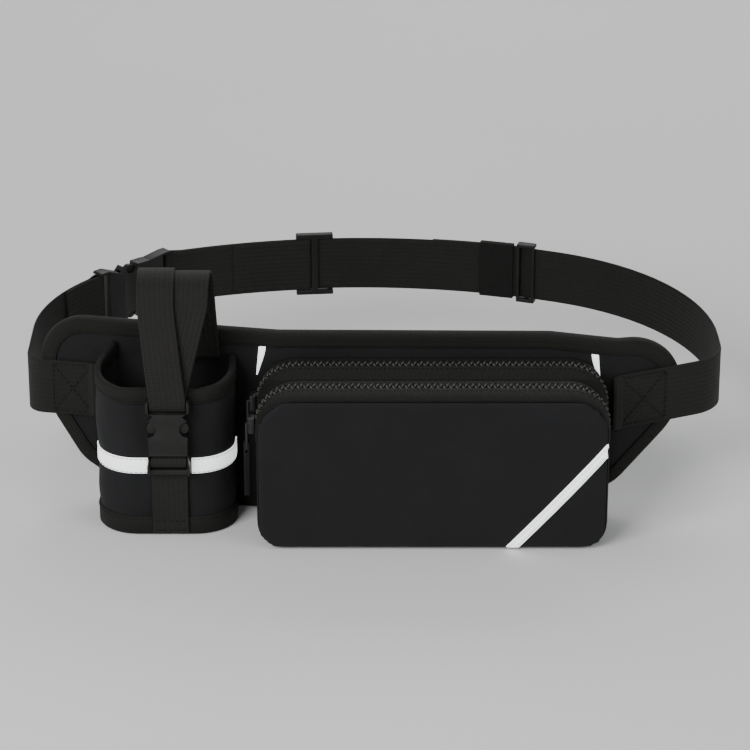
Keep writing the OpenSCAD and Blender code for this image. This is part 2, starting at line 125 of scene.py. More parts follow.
# bottle pocket: its left side slants inwards to the panel, and its rim climbs towards it
wall_low, wall_high = corners("bottle_pocket_wall")
BOTTLE_X = (wall_low[0] + wall_high[0]) / 2
BOTTLE_HALF = (wall_high[0] - wall_low[0]) / 2
BOTTLE_FRONT = wall_low[1]
BOTTLE_LEAN = math.atan(22 / 60)
BOTTLE_R = 26
BOTTLE_WALL = 2.5
BOTTLE_H = 102
RIM_SLOPE = 0.19
BASE_BAND = corners("bottle_base_binding")[1][2]
BAND_Z = middle("bottle_reflective_band", 2)
BAND_H = 11
BAND_ENDS = ((-1, "left", PANEL_Y - 9), (1, "right", PANEL_Y - 2))

# bottle strap and its buckle; NARROW is their width here as a share of the CAD's
strip_low, strip_high = corners("bottle_front_strip")
STRAP_X = (strip_low[0] + strip_high[0]) / 2
NARROW = 0.93
STRAP_W = (strip_high[0] - strip_low[0]) * NARROW
WEB_T = 1.4
PLY = WEB_T + 0.15
BAR_HALF = 1.8
BUCKLE_Y = middle("bottle_socket", 1)
BUCKLE_TOP_Z = corners("bottle_socket")[1][2]
SOCKET_SLOT_Z = BUCKLE_TOP_Z - 5.6
PLUG_LOW = corners("bottle_plug")[0][2]
PLUG_FACE = corners("bottle_plug")[0][1] + 1.2
PLUG_SLOT = STRAP_W / 2 + 0.5
PLUG_CUTS = [((STRAP_X - PLUG_SLOT, PLUG_FACE - 5, PLUG_LOW + low),
              (STRAP_X + PLUG_SLOT, rear, PLUG_LOW + high))
             for low, high, rear in ((11.2, 14.0, BUCKLE_Y + 9), (5, 12, PLUG_FACE + 0.9))]
ARCH_Z = corners("bottle_strap_left")[1][2]
ARCH_Y = -99
SEWN_Z = 106

# belt: arcs in plan; names that end in _A are angles along the rear arc in degrees
belt_low, belt_high = corners("belt_rear_webbing")
BELT_Z = (belt_low[2] + belt_high[2]) / 2
BELT_W = belt_high[2] - belt_low[2]
REAR_C = joint_at("belt_adjuster_travel")[:2]
REAR_R = belt_high[1] - WEB_T / 2 - REAR_C[1]
REAR_END = 22.56
RIGHT_R = 157
RIGHT_X = 226
RIGHT_FOLD_R = 28
RIGHT_TAB_END = 155.5
LEFT_C = np.array([-96.0, -11.0])
LEFT_R = 130
LEFT_START = 136.2
LEFT_FOLD_R = 12
LEFT_TAB_END = -182
PANEL_GAP = 0.8
TAB_OFF = PANEL_GAP + WEB_T / 2
ADJUSTER_A = -5.3
KEEPER_A = 15.3
TAIL_END_A = 8.0
LOOP_A = 8.0


# ---- meshes ----

def mesh_piece(name, points, faces, uvs=None, smooth=True):
    """A mesh object from points in millimetres; uvs holds one (u, v) in metres for each face corner."""
    mesh = bpy.data.meshes.new(name)
    mesh.from_pydata((np.asarray(points, float) * MM).tolist(), [], [list(map(int, f)) for f in faces])
    if uvs is not None:
        layer = mesh.uv_layers.new(name="length")
        layer.data.foreach_set("uv", np.asarray(uvs, np.float32).ravel())
    mesh.polygons.foreach_set("use_smooth", [smooth] * len(mesh.polygons))
    mesh.update()
    piece = bpy.data.objects.new(name, mesh)
    bpy.context.scene.collection.objects.link(piece)
    return piece


def face_outward(mesh):
    """Turns the faces of a closed mesh outward."""
    work = bmesh.new()
    work.from_mesh(mesh)
    inside_out = work.calc_volume(signed=True) < 0 and not any(edge.is_boundary for edge in work.edges)
    work.free()
    if inside_out:
        mesh.flip_normals()


def finish_piece(piece, material, slot, body, *nodes):
    """Gives a piece its material and its body, and hides the CAD nodes that it stands for."""
    face_outward(piece.data)
    piece.data.materials.clear()
    piece.data.materials.append(material)
    if body:
        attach(piece, body)
    if nodes:
        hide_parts(*nodes)
    return piece


def lengths(points):
    """Distance along a line of points from its first point."""
    steps = np.linalg.norm(np.diff(points, axis=0), axis=1)
    return np.concatenate([[0], np.cumsum(steps)])


def loft(name, rows, round_rows=False, round_columns=False, skip=None, caps=False):
    """Quads through a grid of points: rows[i][k]. skip(i, k) leaves a quad out; caps close round sections."""
    rows = np.asarray(rows, float)
    n, m = rows.shape[:2]
    around = np.concatenate([rows, rows[:, :1]], axis=1) if round_columns else rows
    along = np.concatenate([rows, rows[:1]], axis=0) if round_rows else rows
    u = np.mean([lengths(r) for r in around], axis=0) * MM
    v = np.mean([lengths(along[:, k]) for k in range(m)], axis=0) * MM
    faces, uvs = [], []
    for i in range(n if round_rows else n - 1):
        for k in range(m if round_columns else m - 1):
            if skip and skip(i, k):
                continue
            i2, k2 = (i + 1) % n, (k + 1) % m
            faces.append((i * m + k, i * m + k2, i2 * m + k2, i2 * m + k))
            uvs += [(u[k], v[i]), (u[k + 1], v[i]), (u[k + 1], v[i + 1]), (u[k], v[i + 1])]
    if caps:
        for first in (0, (n - 1) * m):
            cap = [first + k for k in range(m)]
            faces.append(cap[::-1] if first == 0 else cap)
            uvs += [(u[k], v[0 if first == 0 else n - 1]) for k in range(m)]
    return mesh_piece(name, rows.reshape(-1, 3), faces, uvs)


def unit(vectors):
    """Vectors brought to length 1."""
    return vectors / np.linalg.norm(vectors, axis=-1, keepdims=True)


def circle(count):
    """Cosine and sine at even steps round a circle."""
    turn = np.linspace(0, 2 * math.pi, count + 1)[:-1]
    return list(zip(np.cos(turn), np.sin(turn)))


def tube_faces(first, rings, around):
    """Faces of a closed tube whose points start at first and go ring by ring."""
    faces = []
    for start in range(first, first + (rings - 1) * around, around):
        for k in range(around):
            a, b = start + k, start + (k + 1) % around
            faces.append((a, b, b + around, a + around))
    last = first + (rings - 1) * around
    return faces + [tuple(range(first, first + around))[::-1], tuple(range(last, last + around))]


def sweep(name, path, across, section):
    """Carries a closed section of (across, outward) points along a path of 3-D points."""
    across = np.broadcast_to(across, path.shape)
    outward = unit(np.cross(unit(np.gradient(path, axis=0)), across))
    rows = [[p + a * x + b * y for a, b in section] for p, x, y in zip(path, across, outward)]
    return loft(name, rows, round_columns=True, caps=True)


def strap_section(width, thick, edge=1.4):
    """Flat closed section with rounded selvedges that stand a little proud."""
    r = thick / 2
    half = width / 2
    inner = [half - edge, half * 0.5, 0, -half * 0.5, edge - half]
    top = [(x, r - 0.05) for x in inner]
    round_left = [(-half + r - r * math.sin(t), r * math.cos(t)) for t in np.linspace(0, math.pi, 7)]
    return top + round_left + [(-x, -y) for x, y in top] + [(-x, -y) for x, y in round_left]


def resample(path, step):
    """Points at even steps along a line of points."""
    path = np.asarray(path, float)
    at = lengths(path)
    want = np.linspace(0, at[-1], max(2, int(round(at[-1] / step)) + 1))
    return np.stack([np.interp(want, at, column) for column in path.T], axis=1)


def place_on(path, at, s):
    """The value of a path at length s, where at holds the lengths at its points."""
    return np.array([np.interp(s, at, column) for column in path.T])


def relaxed(path, passes):
    """The path with its corners eased; its ends stay."""
    path = np.array(path, float)
    for _ in range(passes):
        path[1:-1] = path[1:-1] * 0.5 + (path[:-2] + path[2:]) * 0.25
    return path


def arc(centre, radius, start, end, count):
    """Points of a plan arc, with its angles in degrees."""
    t = np.radians(np.linspace(start, end, count + 1))
    return np.stack([centre[0] + radius * np.cos(t), centre[1] + radius * np.sin(t)], axis=1)


def smoothstep(x, a, b):
    t = np.clip((np.asarray(x, float) - a) / (b - a), 0, 1)
    return t * t * (3 - 2 * t)


def ripple(points, size, seed):
    """A smooth unevenness from -1 to 1 that varies over the given size in millimetres."""
    draw = np.random.default_rng(seed)
    total = np.zeros(len(points))
    for _ in range(7):
        direction = draw.normal(size=3)
        direction *= draw.uniform(0.6, 1.6) * 2 * math.pi / size / np.linalg.norm(direction)
        total += np.sin(np.asarray(points) @ direction + draw.uniform(0, 2 * math.pi))
    return total / 4


def co_of(piece):
    """The piece's points in millimetres."""
    co = np.zeros(len(piece.data.vertices) * 3)
    piece.data.vertices.foreach_get("co", co)
    return co.reshape(-1, 3) / MM


def set_co(piece, points):
    piece.data.vertices.foreach_set("co", (np.asarray(points) * MM).ravel())
    piece.data.update()


def applied(piece):
    """Turns the piece's modifiers into its mesh."""
    bpy.context.view_layer.update()
    graph = bpy.context.evaluated_depsgraph_get()
    mesh = bpy.data.meshes.new_from_object(piece.evaluated_get(graph))
    old = piece.data
    piece.modifiers.clear()
    piece.data = mesh
    bpy.data.meshes.remove(old)
    mesh.polygons.foreach_set("use_smooth", [True] * len(mesh.polygons))
    return piece


def thicken(piece, depth, offset=-1, even=True):
    solid = piece.modifiers.new("thickness", "SOLIDIFY")
    solid.thickness = depth * MM
    solid.offset = offset
    solid.use_even_offset = even
    return applied(piece)


def subdivide(piece):
    smooth = piece.modifiers.new("smooth", "SUBSURF")
    smooth.levels = smooth.render_levels = 1
    return applied(piece)


def lift_xz(line, y):
    """Points (x, z) put at depth y."""
    line = np.asarray(line, float)
    return np.stack([line[:, 0], np.full(len(line), y), line[:, 1]], axis=1)


def surface_tree(piece):
    """A search tree over the surface of a piece, in millimetres."""
    return BVHTree.FromPolygons(co_of(piece).tolist(), [list(f.vertices) for f in piece.data.polygons])


def laid_on(tree, grid, y, lift):
    """A grid of (x, z) points near depth y, carried back on to a surface and lifted off along its normal."""
    back, ray = Vector(AXES[1]), 60
    grid = np.asarray(grid)
    placed = []
    for p in lift_xz(grid.reshape(-1, 2), y):
        hit, normal, _, _ = tree.ray_cast(Vector(p) - back * ray, back, 2 * ray)
        if hit is None:
            hit, normal = Vector(p), -back
        if normal.dot(back) > 0:
            normal = -normal
        placed.append(np.array(hit) + np.array(normal) * lift)
    return np.reshape(placed, (*grid.shape[:2], 3))


# ---- stitching ----

def stitch_row(path, up, pitch=3.4, length=2.4, radius=0.26):
    """Points and faces of the stitches along a path; up is the surface's outward direction there."""
    rings, around = 5, 6
    at = lengths(path)
    count = int(at[-1] / pitch)
    ups = np.broadcast_to(up, path.shape)
    points, faces = [], []
    for s in (np.arange(count) + 0.5) * at[-1] / max(count, 1):
        start, end = place_on(path, at, s - 0.4), place_on(path, at, s + 0.4)
        normal = place_on(ups, at, s)
        along = unit(end - start)
        side = unit(np.cross(along, normal))
        faces += tube_faces(len(points), rings, around)
        for t in np.linspace(-1, 1, rings):
            centre = (start + end) / 2 + along * t * length / 2 + normal * radius * (0.9 - 1.5 * t * t)
            fat = radius * (1 - 0.45 * t * t)
            points += [centre + fat * (x * side + z * normal) for x, z in circle(around)]
    return points, faces


def stitches(name, rows, **kind):
    """One piece that holds the stitches of several rows of (path, up)."""
    points, faces = [], []
    for path, up in rows:
        more, quads = stitch_row(path, up, **kind)
        faces += [[i + len(points) for i in f] for f in quads]
        points += more
    return finish_piece(mesh_piece(name, points, faces), THREAD, "binding_tape", "bag")


# ---- materials ----

def node(tree, kind, **settings):
    made = tree.nodes.new("ShaderNode" + kind)
    for key, value in settings.items():
        setattr(made, key, value)
    return made


def join(tree, source, made, socket):
    """Puts a link or a plain value on a socket."""
    if isinstance(source, bpy.types.NodeSocket):
        tree.links.new(source, made.inputs[socket])
    else:
        made.inputs[socket].default_value = source


def maths(tree, operation, a, b=0.0, c=0.0):
    made = node(tree, "Math", operation=operation)
    for i, value in enumerate((a, b, c)):
        join(tree, value, made, i)
    return made.outputs[0]


def noise(tree, coordinates, scale, detail=3.0, rough=0.55):
    made = node(tree, "TexNoise")
    join(tree, coordinates, made, "Vector")
    made.inputs["Scale"].default_value = scale
    made.inputs["Detail"].default_value = detail
    made.inputs["Roughness"].default_value = rough
    return made.outputs["Fac"]


def remap(tree, value, low, high):
    made = node(tree, "MapRange")
    join(tree, value, made, "Value")
    made.inputs["To Min"].default_value = low
    made.inputs["To Max"].default_value = high
    return made.outputs[0]


def mixed(tree, factor, a, b):
    """Colour between a and b."""
    made = node(tree, "Mix", data_type="RGBA")
    join(tree, factor, made, 0)
    join(tree, a, made, 6)
    join(tree, b, made, 7)
    return made.outputs[2]


def rgb(red, green, blue):
    return (red, green, blue, 1.0)


def new_material(name, roughness, sheen=0.0, coat=0.0, specular=0.5):
    """A material with its shader, object coordinates and UVs."""
    made = bpy.data.materials.new(name)
    made.use_nodes = True
    tree = made.node_tree
    shader = next(n for n in tree.nodes if n.type == "BSDF_PRINCIPLED")
    shader.inputs["Roughness"].default_value = roughness
    shader.inputs["Sheen Weight"].default_value = sheen
    shader.inputs["Sheen Roughness"].default_value = 0.45
    shader.inputs["Coat Weight"].default_value = coat
    shader.inputs["Specular IOR Level"].default_value = specular
    place = node(tree, "TexCoord")
    return made, tree, shader, place


def bumped(tree, shader, height, distance, strength=1.0):
    bump = node(tree, "Bump")
    join(tree, height, bump, "Height")
    bump.inputs["Distance"].default_value = distance
    bump.inputs["Strength"].default_value = strength
    tree.links.new(bump.outputs[0], shader.inputs["Normal"])


def wave(tree, value, pitch):
    """A sine of the given pitch in metres."""
    return maths(tree, "SINE", maths(tree, "MULTIPLY", value, 2 * math.pi / pitch))


def coloured(tree, shader, place, dark, light, extra, rough_low, rough_high):
    """Colour between two tones by broad wear, fine grain and extra; roughness varies with the wear."""
    wear = noise(tree, place.outputs["Object"], 26.0, 4.0, 0.6)
    grain = noise(tree, place.outputs["Object"], 900.0, 2.0)
    tone = maths(tree, "MULTIPLY_ADD", remap(tree, wear, -0.3, 1.3), 0.45, 0.1)
    tone = maths(tree, "MULTIPLY_ADD", grain, 0.25, tone)
    tone = maths(tree, "ADD", tone, extra)
    clamp = node(tree, "Clamp")
    join(tree, tone, clamp, "Value")
    join(tree, mixed(tree, clamp.outputs[0], dark, light), shader, "Base Color")
    join(tree, remap(tree, wear, rough_low, rough_high), shader, "Roughness")
    return wear


def woven_cloth(name, dark, light, pitch, sheen, depth=0.00012, rough=(0.72, 0.9)):
    """Plain weave laid on by object position, so that it needs no UVs."""
    made, tree, shader, place = new_material(name, 0.8, sheen, specular=0.18)
    spot = node(tree, "SeparateXYZ")
    join(tree, place.outputs["Object"], spot, 0)
    facing = node(tree, "SeparateXYZ")
    join(tree, place.outputs["Normal"], facing, 0)
    x, y, z = (wave(tree, spot.outputs[i], pitch) for i in range(3))
    weaves = [maths(tree, "MULTIPLY", y, z), maths(tree, "MULTIPLY", x, z), maths(tree, "MULTIPLY", x, y)]
    height = 0.0
    for i, weave in enumerate(weaves):
        share = maths(tree, "POWER", maths(tree, "ABSOLUTE", facing.outputs[i]), 4.0)
        height = maths(tree, "MULTIPLY_ADD", weave, share, height)
    wear = coloured(tree, shader, place, dark, light, maths(tree, "MULTIPLY", height, 0.25), *rough)
    soft = maths(tree, "MULTIPLY_ADD", wear, 2.5, height)
    bumped(tree, shader, soft, depth)
    return made


def woven_tape(name, dark, light, rib, column, sheen, depth=0.00022, rough=(0.6, 0.8), slant=0.5):
    """Webbing or tape whose V-shaped ribs follow its own length; columns run along it."""
    made, tree, shader, place = new_material(name, 0.7, sheen, specular=0.22)
    spot = node(tree, "SeparateXYZ")
    join(tree, place.outputs["UV"], spot, 0)
    zigzag = maths(tree, "PINGPONG", maths(tree, "DIVIDE", spot.outputs[0], column), 0.5)
    run = maths(tree, "MULTIPLY_ADD", zigzag, slant * 2, maths(tree, "DIVIDE", spot.outputs[1], rib))
    ribs = maths(tree, "SINE", maths(tree, "MULTIPLY", run, 2 * math.pi))
    gaps = maths(tree, "POWER", maths(tree, "ABSOLUTE", wave(tree, spot.outputs[0], column * 2)), 0.5)
    height = maths(tree, "MULTIPLY_ADD", ribs, 0.5, gaps)
    extra = maths(tree, "MULTIPLY", maths(tree, "SUBTRACT", height, 0.7), 0.3)
    coloured(tree, shader, place, dark, light, extra, *rough)
    bumped(tree, shader, height, depth)
    return made


def moulded_plastic(name, dark, light):
    """Buckle plastic: fine spark-eroded grain, soft gloss, paler scuffs."""
    made, tree, shader, place = new_material(name, 0.45, specular=0.25)
    scuff = noise(tree, place.outputs["Object"], 160.0, 5.0, 0.7)
    scuff = maths(tree, "POWER", scuff, 4.0)
    coloured(tree, shader, place, dark, light, scuff, 0.36, 0.56)
    grain = noise(tree, place.outputs["Object"], 2600.0, 2.0, 0.6)
    bumped(tree, shader, grain, 0.00005, 0.8)
    return made


def painted_metal(name, dark, light):
    """Slider paint: glossy black over cast metal, with worn spots."""
    made, tree, shader, place = new_material(name, 0.35, 0.0, 0.1, 0.3)
    shader.inputs["Coat Roughness"].default_value = 0.2
    shader.inputs["Metallic"].default_value = 0.35
    worn = maths(tree, "POWER", noise(tree, place.outputs["Object"], 420.0, 4.0, 0.7), 3.0)
    coloured(tree, shader, place, dark, light, worn, 0.25, 0.45)
    bumped(tree, shader, noise(tree, place.outputs["Object"], 1500.0), 0.00003, 0.6)
    return made


def reflective_tape(name):
    """Glass-bead tape: white, with a painted glow (emission) that stands in for the light it returns, and a
    fine bead grain.
    """
    made, tree, shader, place = new_material(name, 0.35)
    beads = node(tree, "TexVoronoi")
    join(tree, place.outputs["Object"], beads, "Vector")
    beads.inputs["Scale"].default_value = 1400.0
    patch = noise(tree, place.outputs["Object"], 60.0, 3.0)
    tone_and_painted_glow_share = maths(tree, "MULTIPLY_ADD", patch, 0.12, 0.86)
    tone = mixed(tree, tone_and_painted_glow_share, rgb(0.55, 0.57, 0.6), rgb(0.95, 0.96, 0.98))
    join(tree, tone, shader, "Base Color")
    # painted glow: the tape's white tone is also emitted as light
    join(tree, tone, shader, "Emission Color")
    shader.inputs["Emission Strength"].default_value = 1.1
    join(tree, remap(tree, patch, 0.3, 0.5), shader, "Roughness")
    bumped(tree, shader, beads.outputs["Distance"], 0.0001, 0.5)
    return made


def spacer_mesh(name, dark, light):
    """Air mesh for the side that faces the waist: round holes in a knitted face."""
    made, tree, shader, place = new_material(name, 0.85, 0.3)
    cells = node(tree, "TexVoronoi")
    join(tree, place.outputs["Object"], cells, "Vector")
    cells.inputs["Scale"].default_value = 330.0
    cells.inputs["Randomness"].default_value = 0.25
    hole = remap(tree, cells.outputs["Distance"], -0.4, 0.8)
    coloured(tree, shader, place, dark, light, hole, 0.75, 0.95)
    bumped(tree, shader, cells.outputs["Distance"], 0.0006)
    return made


def sewing_thread(name, dark, light):
    """Bonded polyester thread with its twist."""
    made, tree, shader, place = new_material(name, 0.6, 0.02, specular=0.2)
    twist = node(tree, "TexWave", bands_direction="DIAGONAL")
    join(tree, place.outputs["Object"], twist, "Vector")
    twist.inputs["Scale"].default_value = 900.0
    coloured(tree, shader, place, dark, light, maths(tree, "MULTIPLY", twist.outputs["Fac"], 0.2), 0.5, 0.7)
    bumped(tree, shader, twist.outputs["Fac"], 0.00006)
    return made


def stage_floor(name):
    made, tree, shader, place = new_material(name, 0.9)
    soft = noise(tree, place.outputs["Object"], 3.0, 2.0)
    join(tree, mixed(tree, soft, rgb(0.7, 0.7, 0.69), rgb(0.74, 0.74, 0.73)), shader, "Base Color")
    return made


SHELL = woven_cloth("shell_cloth", rgb(0.004, 0.004, 0.0046), rgb(0.0165, 0.0165, 0.0178), 0.0009, 0.03)
# a darker copy of the shell cloth with less sheen: painted shade on the pouch's top-facing gussets
GUSSET_PAINTED_SHADE_CLOTH = woven_cloth("gusset_cloth_painted_shade", rgb(0.0025, 0.0025, 0.0023), rgb(0.009, 0.009, 0.008), 0.0009, 0.01)
# near-black seam cloth: a real rolled seam, darkened as painted shade for the shadow line in its groove
SEAM_PAINTED_SHADE_CLOTH = woven_cloth("seam_cloth_painted_shade", rgb(0.001, 0.001, 0.001), rgb(0.004, 0.004, 0.0038), 0.0012, 0.0)
MESH = spacer_mesh("spacer_mesh", rgb(0.004, 0.004, 0.0045), rgb(0.022, 0.022, 0.023))
BINDING = woven_tape("binding_tape", rgb(0.0028, 0.0028, 0.0021), rgb(0.0105, 0.0104, 0.0084),
                     0.0009, 0.0016, 0.012, 0.00016, (0.62, 0.82), 0.0)
ZIP_TAPE = woven_tape("zip_tape", rgb(0.003, 0.003, 0.0024), rgb(0.011, 0.0109, 0.009),
                      0.0011, 0.0014, 0.008, 0.00016, (0.7, 0.85), 0.25)
WEBBING = woven_tape("webbing", rgb(0.0038, 0.0037, 0.003), rgb(0.0145, 0.0142, 0.0118), 0.0013, 0.0032, 0.02)
ELASTIC = woven_tape("knitted_elastic", rgb(0.0018, 0.0018, 0.0016), rgb(0.008, 0.008, 0.007),
                     0.0016, 0.0012, 0.015, 0.0003, (0.7, 0.9), 0.0)
TAB_CORD = woven_tape("pull_tab_tape", rgb(0.002, 0.002, 0.0019), rgb(0.01, 0.01, 0.009),
                      0.0008, 0.0019, 0.015)
PLASTIC = moulded_plastic("buckle_plastic", rgb(0.0035, 0.0035, 0.0032), rgb(0.015, 0.015, 0.0138))
COIL = moulded_plastic("zip_coil_nylon", rgb(0.026, 0.026, 0.0225), rgb(0.075, 0.0745, 0.064))
METAL = painted_metal("slider_paint", rgb(0.004, 0.004, 0.004), rgb(0.03, 0.03, 0.029))
# reflective tape with a painted glow: its emission stands in for the light that the beads return
PAINTED_GLOW_TAPE = reflective_tape("reflective_tape")
THREAD = sewing_thread("sewing_thread", rgb(0.0018, 0.0018, 0.0016), rgb(0.0085, 0.0083, 0.0073))


# ---- outlines ----

def panel_front(x):
    """The panel's front surface at x."""
    x = np.asarray(x, float)
    left = np.maximum(BEND_LEFT[0] - x, 0) * BEND_LEFT[1]
    right = np.maximum(x - BEND_RIGHT[0], 0) * BEND_RIGHT[1]
    return PANEL_Y + left + right


def directions(start, stop, step):
    """Unit vectors at angles in degrees."""
    angles = np.radians(np.arange(start, stop, step))
    return np.stack([np.cos(angles), np.sin(angles)], axis=1)


def reaches(rounds, normals):
    """How far each circle (x, z, r) reaches along each direction."""
    return np.array([[c[0] * n[0] + c[1] * n[1] + c[2] for c in rounds] for n in normals])


def hull_ring(rounds, step):
    """Even points and outward normals round a hull of circles (x, z, r), clockwise from its left side."""
    normals = directions(180, -180, -4.0)
    points = [np.array(rounds[best][:2]) + rounds[best][2] * n
              for n, best in zip(normals, np.argmax(reaches(rounds, normals), axis=1))]
    ring = np.concatenate([points, normals], axis=1)
    ring = resample(np.concatenate([ring, ring[:1]]), step)[:-1]
    return ring[:, :2], unit(ring[:, 2:])


def inside_by(rounds, points):
    """How far points lie inside a hull of circles."""
    normals = directions(0, 360, 3.0)
    return np.min(reaches(rounds, normals).max(axis=1) - points @ normals.T, axis=1)


POUCH_CORNERS = [
    (POUCH_X0 + POUCH_TOP_R, POUCH_H - POUCH_TOP_R, POUCH_TOP_R),
    (POUCH_X1 - POUCH_TOP_R, POUCH_H - POUCH_TOP_R, POUCH_TOP_R),
    (POUCH_X1 - POUCH_BOTTOM_R, POUCH_BOTTOM_R, POUCH_BOTTOM_R),
    (POUCH_X0 + POUCH_BOTTOM_R, POUCH_BOTTOM_R, POUCH_BOTTOM_R),
]


def pouch_rise(y):
    """How much higher the pouch's top stands at depth y than at its front."""
    return MAIN_RISE * float(smoothstep(y, DIVIDER_Y, MAIN_ZIP_Y - 4))


def raised(height, y):
    """A height on the pouch's front outline carried to depth y."""
    return height + pouch_rise(y) * float(smoothstep(height, 40, POUCH_H - POUCH_TOP_R))


def seam_drop(z, y):
    """How far the front seam hangs below the outline along the pouch's top."""
    fading = 1 - smoothstep(y, SEAM_FRONT, SEAM_FRONT + 6)
    return SEAM_DROP * float(smoothstep(z, SEAM_DROP_FROM, SEAM_DROP_TO) * fading)


def pouch_point(q, y, floor):
    """A point (x, z) of the pouch's outline carried to depth y, and kept above the floor."""
    return (q[0], y, max(raised(q[1], y) - seam_drop(q[1], y), floor))


def arch_run(y, low, step):
    """Points and outward normals of the pouch's arch, from low on the left to low on the right."""
    top = POUCH_H - POUCH_TOP_R + pouch_rise(y)
    left = arc((POUCH_X0 + POUCH_TOP_R, top), POUCH_TOP_R, 180, 90, 16)
    right = arc((POUCH_X1 - POUCH_TOP_R, top), POUCH_TOP_R, 90, 0, 16)
    line = resample(np.concatenate([[[POUCH_X0, low]], left, right, [[POUCH_X1, low]]]), step)
    centre_x = np.clip(line[:, 0], POUCH_X0 + POUCH_TOP_R, POUCH_X1 - POUCH_TOP_R)
    return line, unit(np.stack([line[:, 0] - centre_x, np.maximum(line[:, 1] - top, 0)], axis=1))


# ---- padded pieces ----

def prism(name, rounds, inset, near, far, voxel):
    """An evenly meshed pad between two depths, inside an outline."""
    ring, up = hull_ring(rounds, 3.0)
    ring = ring - up * inset
    count = len(ring)
    points = np.concatenate([lift_xz(ring, near), lift_xz(ring, far)])
    faces = [list(range(count))[::-1], list(range(count, 2 * count))]
    faces += [(i, (i + 1) % count, count + (i + 1) % count, count + i) for i in range(count)]
    pad = mesh_piece(name, points, faces)
    remesh = pad.modifiers.new("even", "REMESH")
    remesh.mode = "VOXEL"
    remesh.voxel_size = voxel * MM
    return applied(pad)


def puffed(pad, pinned, cap, pressure=4.0):
    """Blows a closed pad up as cloth, holding the pinned points, and never moves a point beyond cap."""
    start = co_of(pad)
    group = pad.vertex_groups.new(name="held")
    for i, weight in enumerate(np.clip(pinned, 0, 1)):
        group.add([i], float(weight), "REPLACE")
    cloth = pad.modifiers.new("cloth", "CLOTH")
    cloth.settings.quality = 6
    cloth.settings.mass = 0.3
    cloth.settings.tension_stiffness = 15
    cloth.settings.compression_stiffness = 15
    cloth.settings.bending_stiffness = 2.0
    cloth.settings.use_pressure = True
    cloth.settings.uniform_pressure_force = pressure
    cloth.settings.effector_weights.gravity = 0
    cloth.settings.vertex_group_mass = "held"
    cloth.collision_settings.use_self_collision = False
    for frame_number in range(1, 21):
        bpy.context.scene.frame_set(frame_number)
    applied(pad)
    moved = co_of(pad) - start
    far = np.linalg.norm(moved, axis=1)
    moved *= (cap * np.tanh(far / cap) / np.maximum(far, 1e-6))[:, None]
    set_co(pad, start + moved)
    pad.vertex_groups.clear()
    bpy.context.scene.frame_set(1)


def split_by(piece, keep_front, name):
    """Cuts the faces where keep_front is false out of a piece into a second piece."""
    other = bpy.data.objects.new(name, piece.data.copy())
    bpy.context.scene.collection.objects.link(other)
    for target, wanted in ((piece, True), (other, False)):
        work = bmesh.new()
        work.from_mesh(target.data)
        work.faces.ensure_lookup_table()
        gone = [f for f, keep in zip(work.faces, keep_front) if bool(keep) != wanted]
        bmesh.ops.delete(work, geom=gone, context="FACES")
        work.to_mesh(target.data)
        work.free()
    return other


# ---- lumbar panel ----

def crown(depth, height, reach):
    """Height of a crown that is full where depth, the distance in from the edge, is well over reach."""
    return height * (1 - np.exp(-np.maximum(depth, 0) / reach))


def build_panel():
    """Foam pad in shell fabric and air mesh, its front held flat where the pouch and pocket hide it."""
    pad = prism("panel_front", PANEL_CORNERS, 1.2, PANEL_Y + 0.6, PANEL_Y + PANEL_T - 0.6, 4.0)
    points = co_of(pad)
    depth = inside_by(PANEL_CORNERS, points[:, [0, 2]])
    pinned = 1 - smoothstep(depth, 4, 12) * 0.9
    x, y, z = points.T
    hidden = (x > -182) & (x < 150) & (y < PANEL_Y + 3) & (z < 104)
    puffed(pad, np.where(hidden, 1, pinned), 2.4)
    points = co_of(pad)
    front = points[:, 1] < PANEL_Y + PANEL_T / 2
    rear_crown = crown(depth - 6, 2.4, 10)
    for bend_x in (BEND_LEFT[0], BEND_RIGHT[0]):
        rear_crown *= 1 - 0.85 * np.exp(-((points[:, 0] - bend_x) / 3.0) ** 2)
    points[:, 1] += np.where(front, np.where(hidden, 0.2, -crown(depth - 8, 0.8, 12)), rear_crown)
    points[:, 1] += ripple(points, 60, 3) * 0.35 * smoothstep(depth, 6, 20)
    points[:, 1] += panel_front(points[:, 0]) - PANEL_Y
    set_co(pad, points)
    subdivide(pad)
    centre = np.array([f.center for f in pad.data.polygons]) / MM
    is_front = centre[:, 1] < panel_front(centre[:, 0]) + PANEL_T / 2
    back = split_by(pad, is_front, "panel_back")
    finish_piece(pad, SHELL, "shell_fabric", "bag", "panel_front_fabric", "panel_foam")
    finish_piece(back, MESH, "spacer_mesh", "bag", "panel_back_mesh")
    return pad


def panel_ring(step, inset, behind):
    """Points of the panel's outline drawn in by inset, at a distance behind its front surface."""
    ring, up = hull_ring(PANEL_CORNERS, step)
    ring = ring - up * inset
    return np.stack([ring[:, 0], panel_front(ring[:, 0]) + behind, ring[:, 1]], axis=1)


